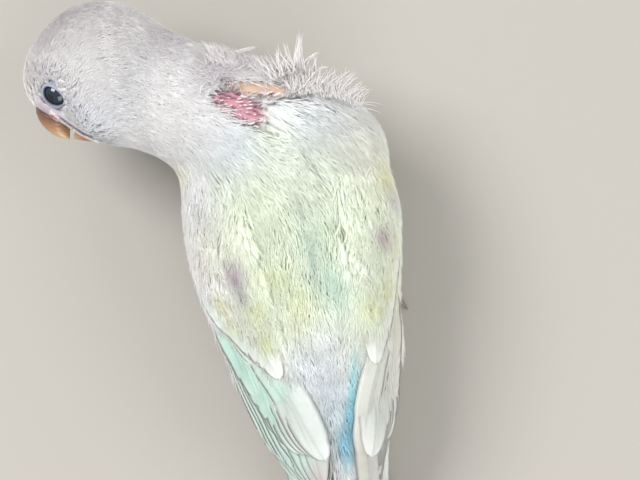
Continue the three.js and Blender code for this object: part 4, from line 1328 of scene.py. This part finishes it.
# steps from the opening outwards: how much wider, how far from the eye's centre, how grainy
LID_PROFILE = [(0.0, 3.28, 0), (0.0, 3.5, 0), (0.12, 3.66, 0.1), (0.34, 3.76, 0.5), (0.58, 3.72, 0.9),
               (0.8, 3.62, 0.3), (1.1, 3.55, 0.2), (1.5, 3.46, 0), (1.9, 3.36, 0), (2.1, 3.24, 0)]
LID_OPENING = (1.55, 2.3)
for number, (centre, out) in enumerate(eyes):
    name = "left" if number == 0 else "right"
    forward = unit(HEAD_FORWARD - (HEAD_FORWARD @ out) * out)
    upward = np.cross(forward, out) * (1 if number == 0 else -1)
    turn, rise = np.meshgrid(np.linspace(0, 2 * math.pi, 49)[:-1], np.linspace(0.02, math.pi - 0.02, 32))
    ball = (np.cos(turn) * np.sin(rise))[..., None] * forward
    ball = ball + (np.sin(turn) * np.sin(rise))[..., None] * upward + np.cos(rise)[..., None] * out
    away = rise[..., None]
    paint = lerp(linear("#0b0f14"), linear("#1d2833"), smoothstep(away, 0.3, 0.4))
    paint = lerp(paint, linear("#2a3644"), smoothstep(away, 0.7, 0.9))
    bulge = 1 + 0.03 * np.exp(-((rise / 0.45) ** 2))
    points = centre + EYE_RADIUS * bulge[..., None] * ball
    eyeball = make_object("eyeball_" + name, points.reshape(-1, 3), lofts(points[None]), eye_wet,
                          paint.reshape(-1, 3))
    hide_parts("eye_left" if number == 0 else "eye_right")
    gaze = unit(out - 0.34 * HEAD_FORWARD - 0.12 * HEAD_UP)
    ahead = unit(HEAD_FORWARD - (HEAD_FORWARD @ gaze) * gaze)
    above = unit(HEAD_UP - (HEAD_UP @ gaze) * gaze - (HEAD_UP @ ahead) * ahead)
    around = np.linspace(0, 2 * math.pi, 97)[:-1]
    opening = np.cos(around)[:, None] * ahead * LID_OPENING[0]
    opening = opening + np.sin(around)[:, None] * above * LID_OPENING[1]
    opening_size = length(opening)
    grain = 0.5 + 0.5 * np.sin(around * 27)
    rings = []
    for wider, shell, bumpy in LID_PROFILE:
        flat = opening * (1 + wider * (1 + 0.25 * np.sin(around + 0.6)) / opening_size)[:, None]
        flat = flat * np.minimum(1, 0.98 * shell / length(flat))[:, None]
        radius = shell + 0.1 * bumpy * grain
        rings.append(centre + flat + gaze * np.sqrt(np.maximum(radius**2 - (flat**2).sum(-1), 0.0))[:, None])
    ring = np.stack(rings, 1)
    turns, steps = len(around), len(LID_PROFILE)
    a, b = np.meshgrid(np.arange(turns), np.arange(steps), indexing="ij")
    faces = np.stack([a * steps + b, (a + 1) % turns * steps + b, (a + 1) % turns * steps + (b + 1) % steps,
                      a * steps + (b + 1) % steps], -1).reshape(-1, 4)
    paint = lerp(LID_GREY, LID_BLUE, (0.6 * grain)[:, None, None]) * np.ones((1, steps, 1))
    # painted shade: the three rings at the opening, where the lid turns in against the eye, are darkened as a
    # shaded crease
    paint[:, :3] = LID_BLUE * 0.55
    make_object("lid_" + name, ring.reshape(-1, 3), faces, skin_hide, paint.reshape(-1, 3))

# %% [markdown]
# The legs fold under the body. Each foot is one soft form with scutes across the toes, and the claws are
# separate horn, curved down to the floor.

# %% Feet and claws
TOES = ((4, 9.5), (27, 12.5), (150, 11), (178, 7.5))
TOE_STOPS = ((0, 1.6), (0.3, 1.3), (0.5, 1.5), (0.75, 1.2), (0.93, 1.3), (1, 0.85))
CLAW_STOPS = ((-0.9, 1.0), (0.4, 1.25), (1.9, 1.0), (3.2, 0.32))
TARSUS_RADIUS, LOWEST_SKIN, SCUTE_HEIGHT, FOOT_CELL = 1.7, 0.05, 0.16, 0.42
foot_hide = grained_material("scaly foot skin", 0.5, 0.85, 1.05, 0.5, 0.1, Roughness=0.6, IOR=1.45)
claw_points, claw_faces = [], []
for side, name in ((-1, "left"), (1, "right")):
    foot, ankle = row(side * 13.2, -3, 0), row(side * 12.2, -15, 7)
    parts = [round_cone(foot + row(0, 0, 1.7), ankle, TARSUS_RADIUS, TARSUS_RADIUS)]
    aheads = []
    for heading, size in TOES:
        h = math.radians(heading)
        ahead = row(side * math.sin(h), math.cos(h), 0)
        aheads.append((ahead, size))
        for (t0, r0), (t1, r1) in zip(TOE_STOPS, TOE_STOPS[1:]):
            low = foot + ahead * t0 * size + row(0, 0, r0 - 0.08)
            high = foot + ahead * t1 * size + row(0, 0, r1 - 0.08)
            parts.append(round_cone(low, high, r0 - 0.06, r1 - 0.06))
        middle = [foot + ahead * (size + d) + row(0, 0, z) for d, z in CLAW_STOPS]
        spots = catmull(middle, np.linspace(0, 1, 9))
        radii = np.interp(np.linspace(0, 1, 9), [0, 0.35, 0.8, 1], [0.72, 0.66, 0.32, 0.1])
        way = unit(np.gradient(spots, axis=0))
        beside = unit(np.cross(way, row(0, 0, 1)))
        angles = np.linspace(0, 2 * math.pi, 11)[:-1]
        ring = spots[:, None] + radii[:, None, None] * (
            0.8 * np.cos(angles)[None, :, None] * beside[:, None]
            + np.sin(angles)[None, :, None] * np.cross(beside, way)[:, None])
        claw_faces.append(lofts(ring[None]) + sum(len(c) for c in claw_points))
        claw_points.append(ring.reshape(-1, 3))
    shape = melt(0.5, *parts)
    points, faces = mesh_of_form(shape, foot + row(-15, -15, -1), foot + row(15, 15, 11), FOOT_CELL)
    n = unit(slope(shape, points))
    scute = np.zeros(len(points))
    for ahead, size in aheads:
        off = points - foot
        far = off @ ahead
        away = length(off - far[:, None] * ahead - row(0, 0, 1.2))
        scute = np.maximum(scute, (away < 2.2) * (far > 1) * np.abs(np.sin(far * math.pi / 1.25)) ** 0.6)
    points = points + n * (SCUTE_HEIGHT * scute * smoothstep(n[:, 2], -0.3, 0.4))[:, None]
    points[:, 2] = np.maximum(points[:, 2], LOWEST_SKIN)
    paint = lerp(linear("#a8938d"), linear("#d3c1b9"), scute[:, None])
    feet = make_object("foot_" + name, points, faces, foot_hide, paint)
    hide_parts("leg_" + name)
claw_horn, tree, shader = new_material("claw horn", Roughness=0.3, IOR=1.54)
place = add_node(tree, "ShaderNodeTexCoord")
grain = add_node(tree, "ShaderNodeTexNoise", {"Scale": 1 / (0.6 * MM)}, Vector=place.outputs["Object"])
shades = add_node(tree, "ShaderNodeValToRGB", Fac=grain.outputs["Fac"])
shades.color_ramp.elements[0].color = (*linear("#4a4240"), 1)
shades.color_ramp.elements[1].color = (*linear("#8d827b"), 1)
tree.links.new(shades.outputs["Color"], shader.inputs["Base Color"])
make_object("claws", np.concatenate(claw_points), np.concatenate(claw_faces), claw_horn)

# %% [markdown]
# The floor is plain and a little darker than the bird, so that its white edge stands out. Big soft lamps
# stand round it, as in a studio, with one a bit stronger from the upper left.

# %% Floor and light
floor_stone, tree, shader = new_material("matt plaster floor", Roughness=0.9)
shader.inputs["Base Color"].default_value = (*linear("#a7a39c"), 1)
bpy.ops.mesh.primitive_plane_add(size=3.0, location=(0, 0, 0))
floor = bpy.context.object
floor.name = "floor"
floor.data.materials.append(floor_stone)
world = bpy.data.worlds.new("studio")
bpy.context.scene.world = world
bpy.context.scene.view_settings.view_transform = "Standard"
world.use_nodes = True
world.node_tree.nodes["Background"].inputs["Color"].default_value = (*linear("#f1f3f6"), 1)
world.node_tree.nodes["Background"].inputs["Strength"].default_value = 0.55
LAMPS = (("key", (-0.35, 0.3, 0.55), 0.35, 5.2), ("fill", (0.5, -0.1, 0.4), 0.5, 2.2),
         ("rear", (0.05, -0.5, 0.4), 0.4, 1.8))
for name, place, size, power in LAMPS:
    lamp = bpy.data.lights.new(name, "AREA")
    lamp.size, lamp.energy = size, power
    stand = bpy.data.objects.new(name, lamp)
    stand.location = place
    stand.rotation_euler = (Vector((0, 0, 0.02)) - Vector(place)).to_track_quat("-Z", "Y").to_euler()
    bpy.context.scene.collection.objects.link(stand)
print(len(LAMPS), "lamps")

# %% [markdown]
# Last, the triangles of all pieces are counted.

# %% Triangle count
print("triangles in all", triangle_total[0])
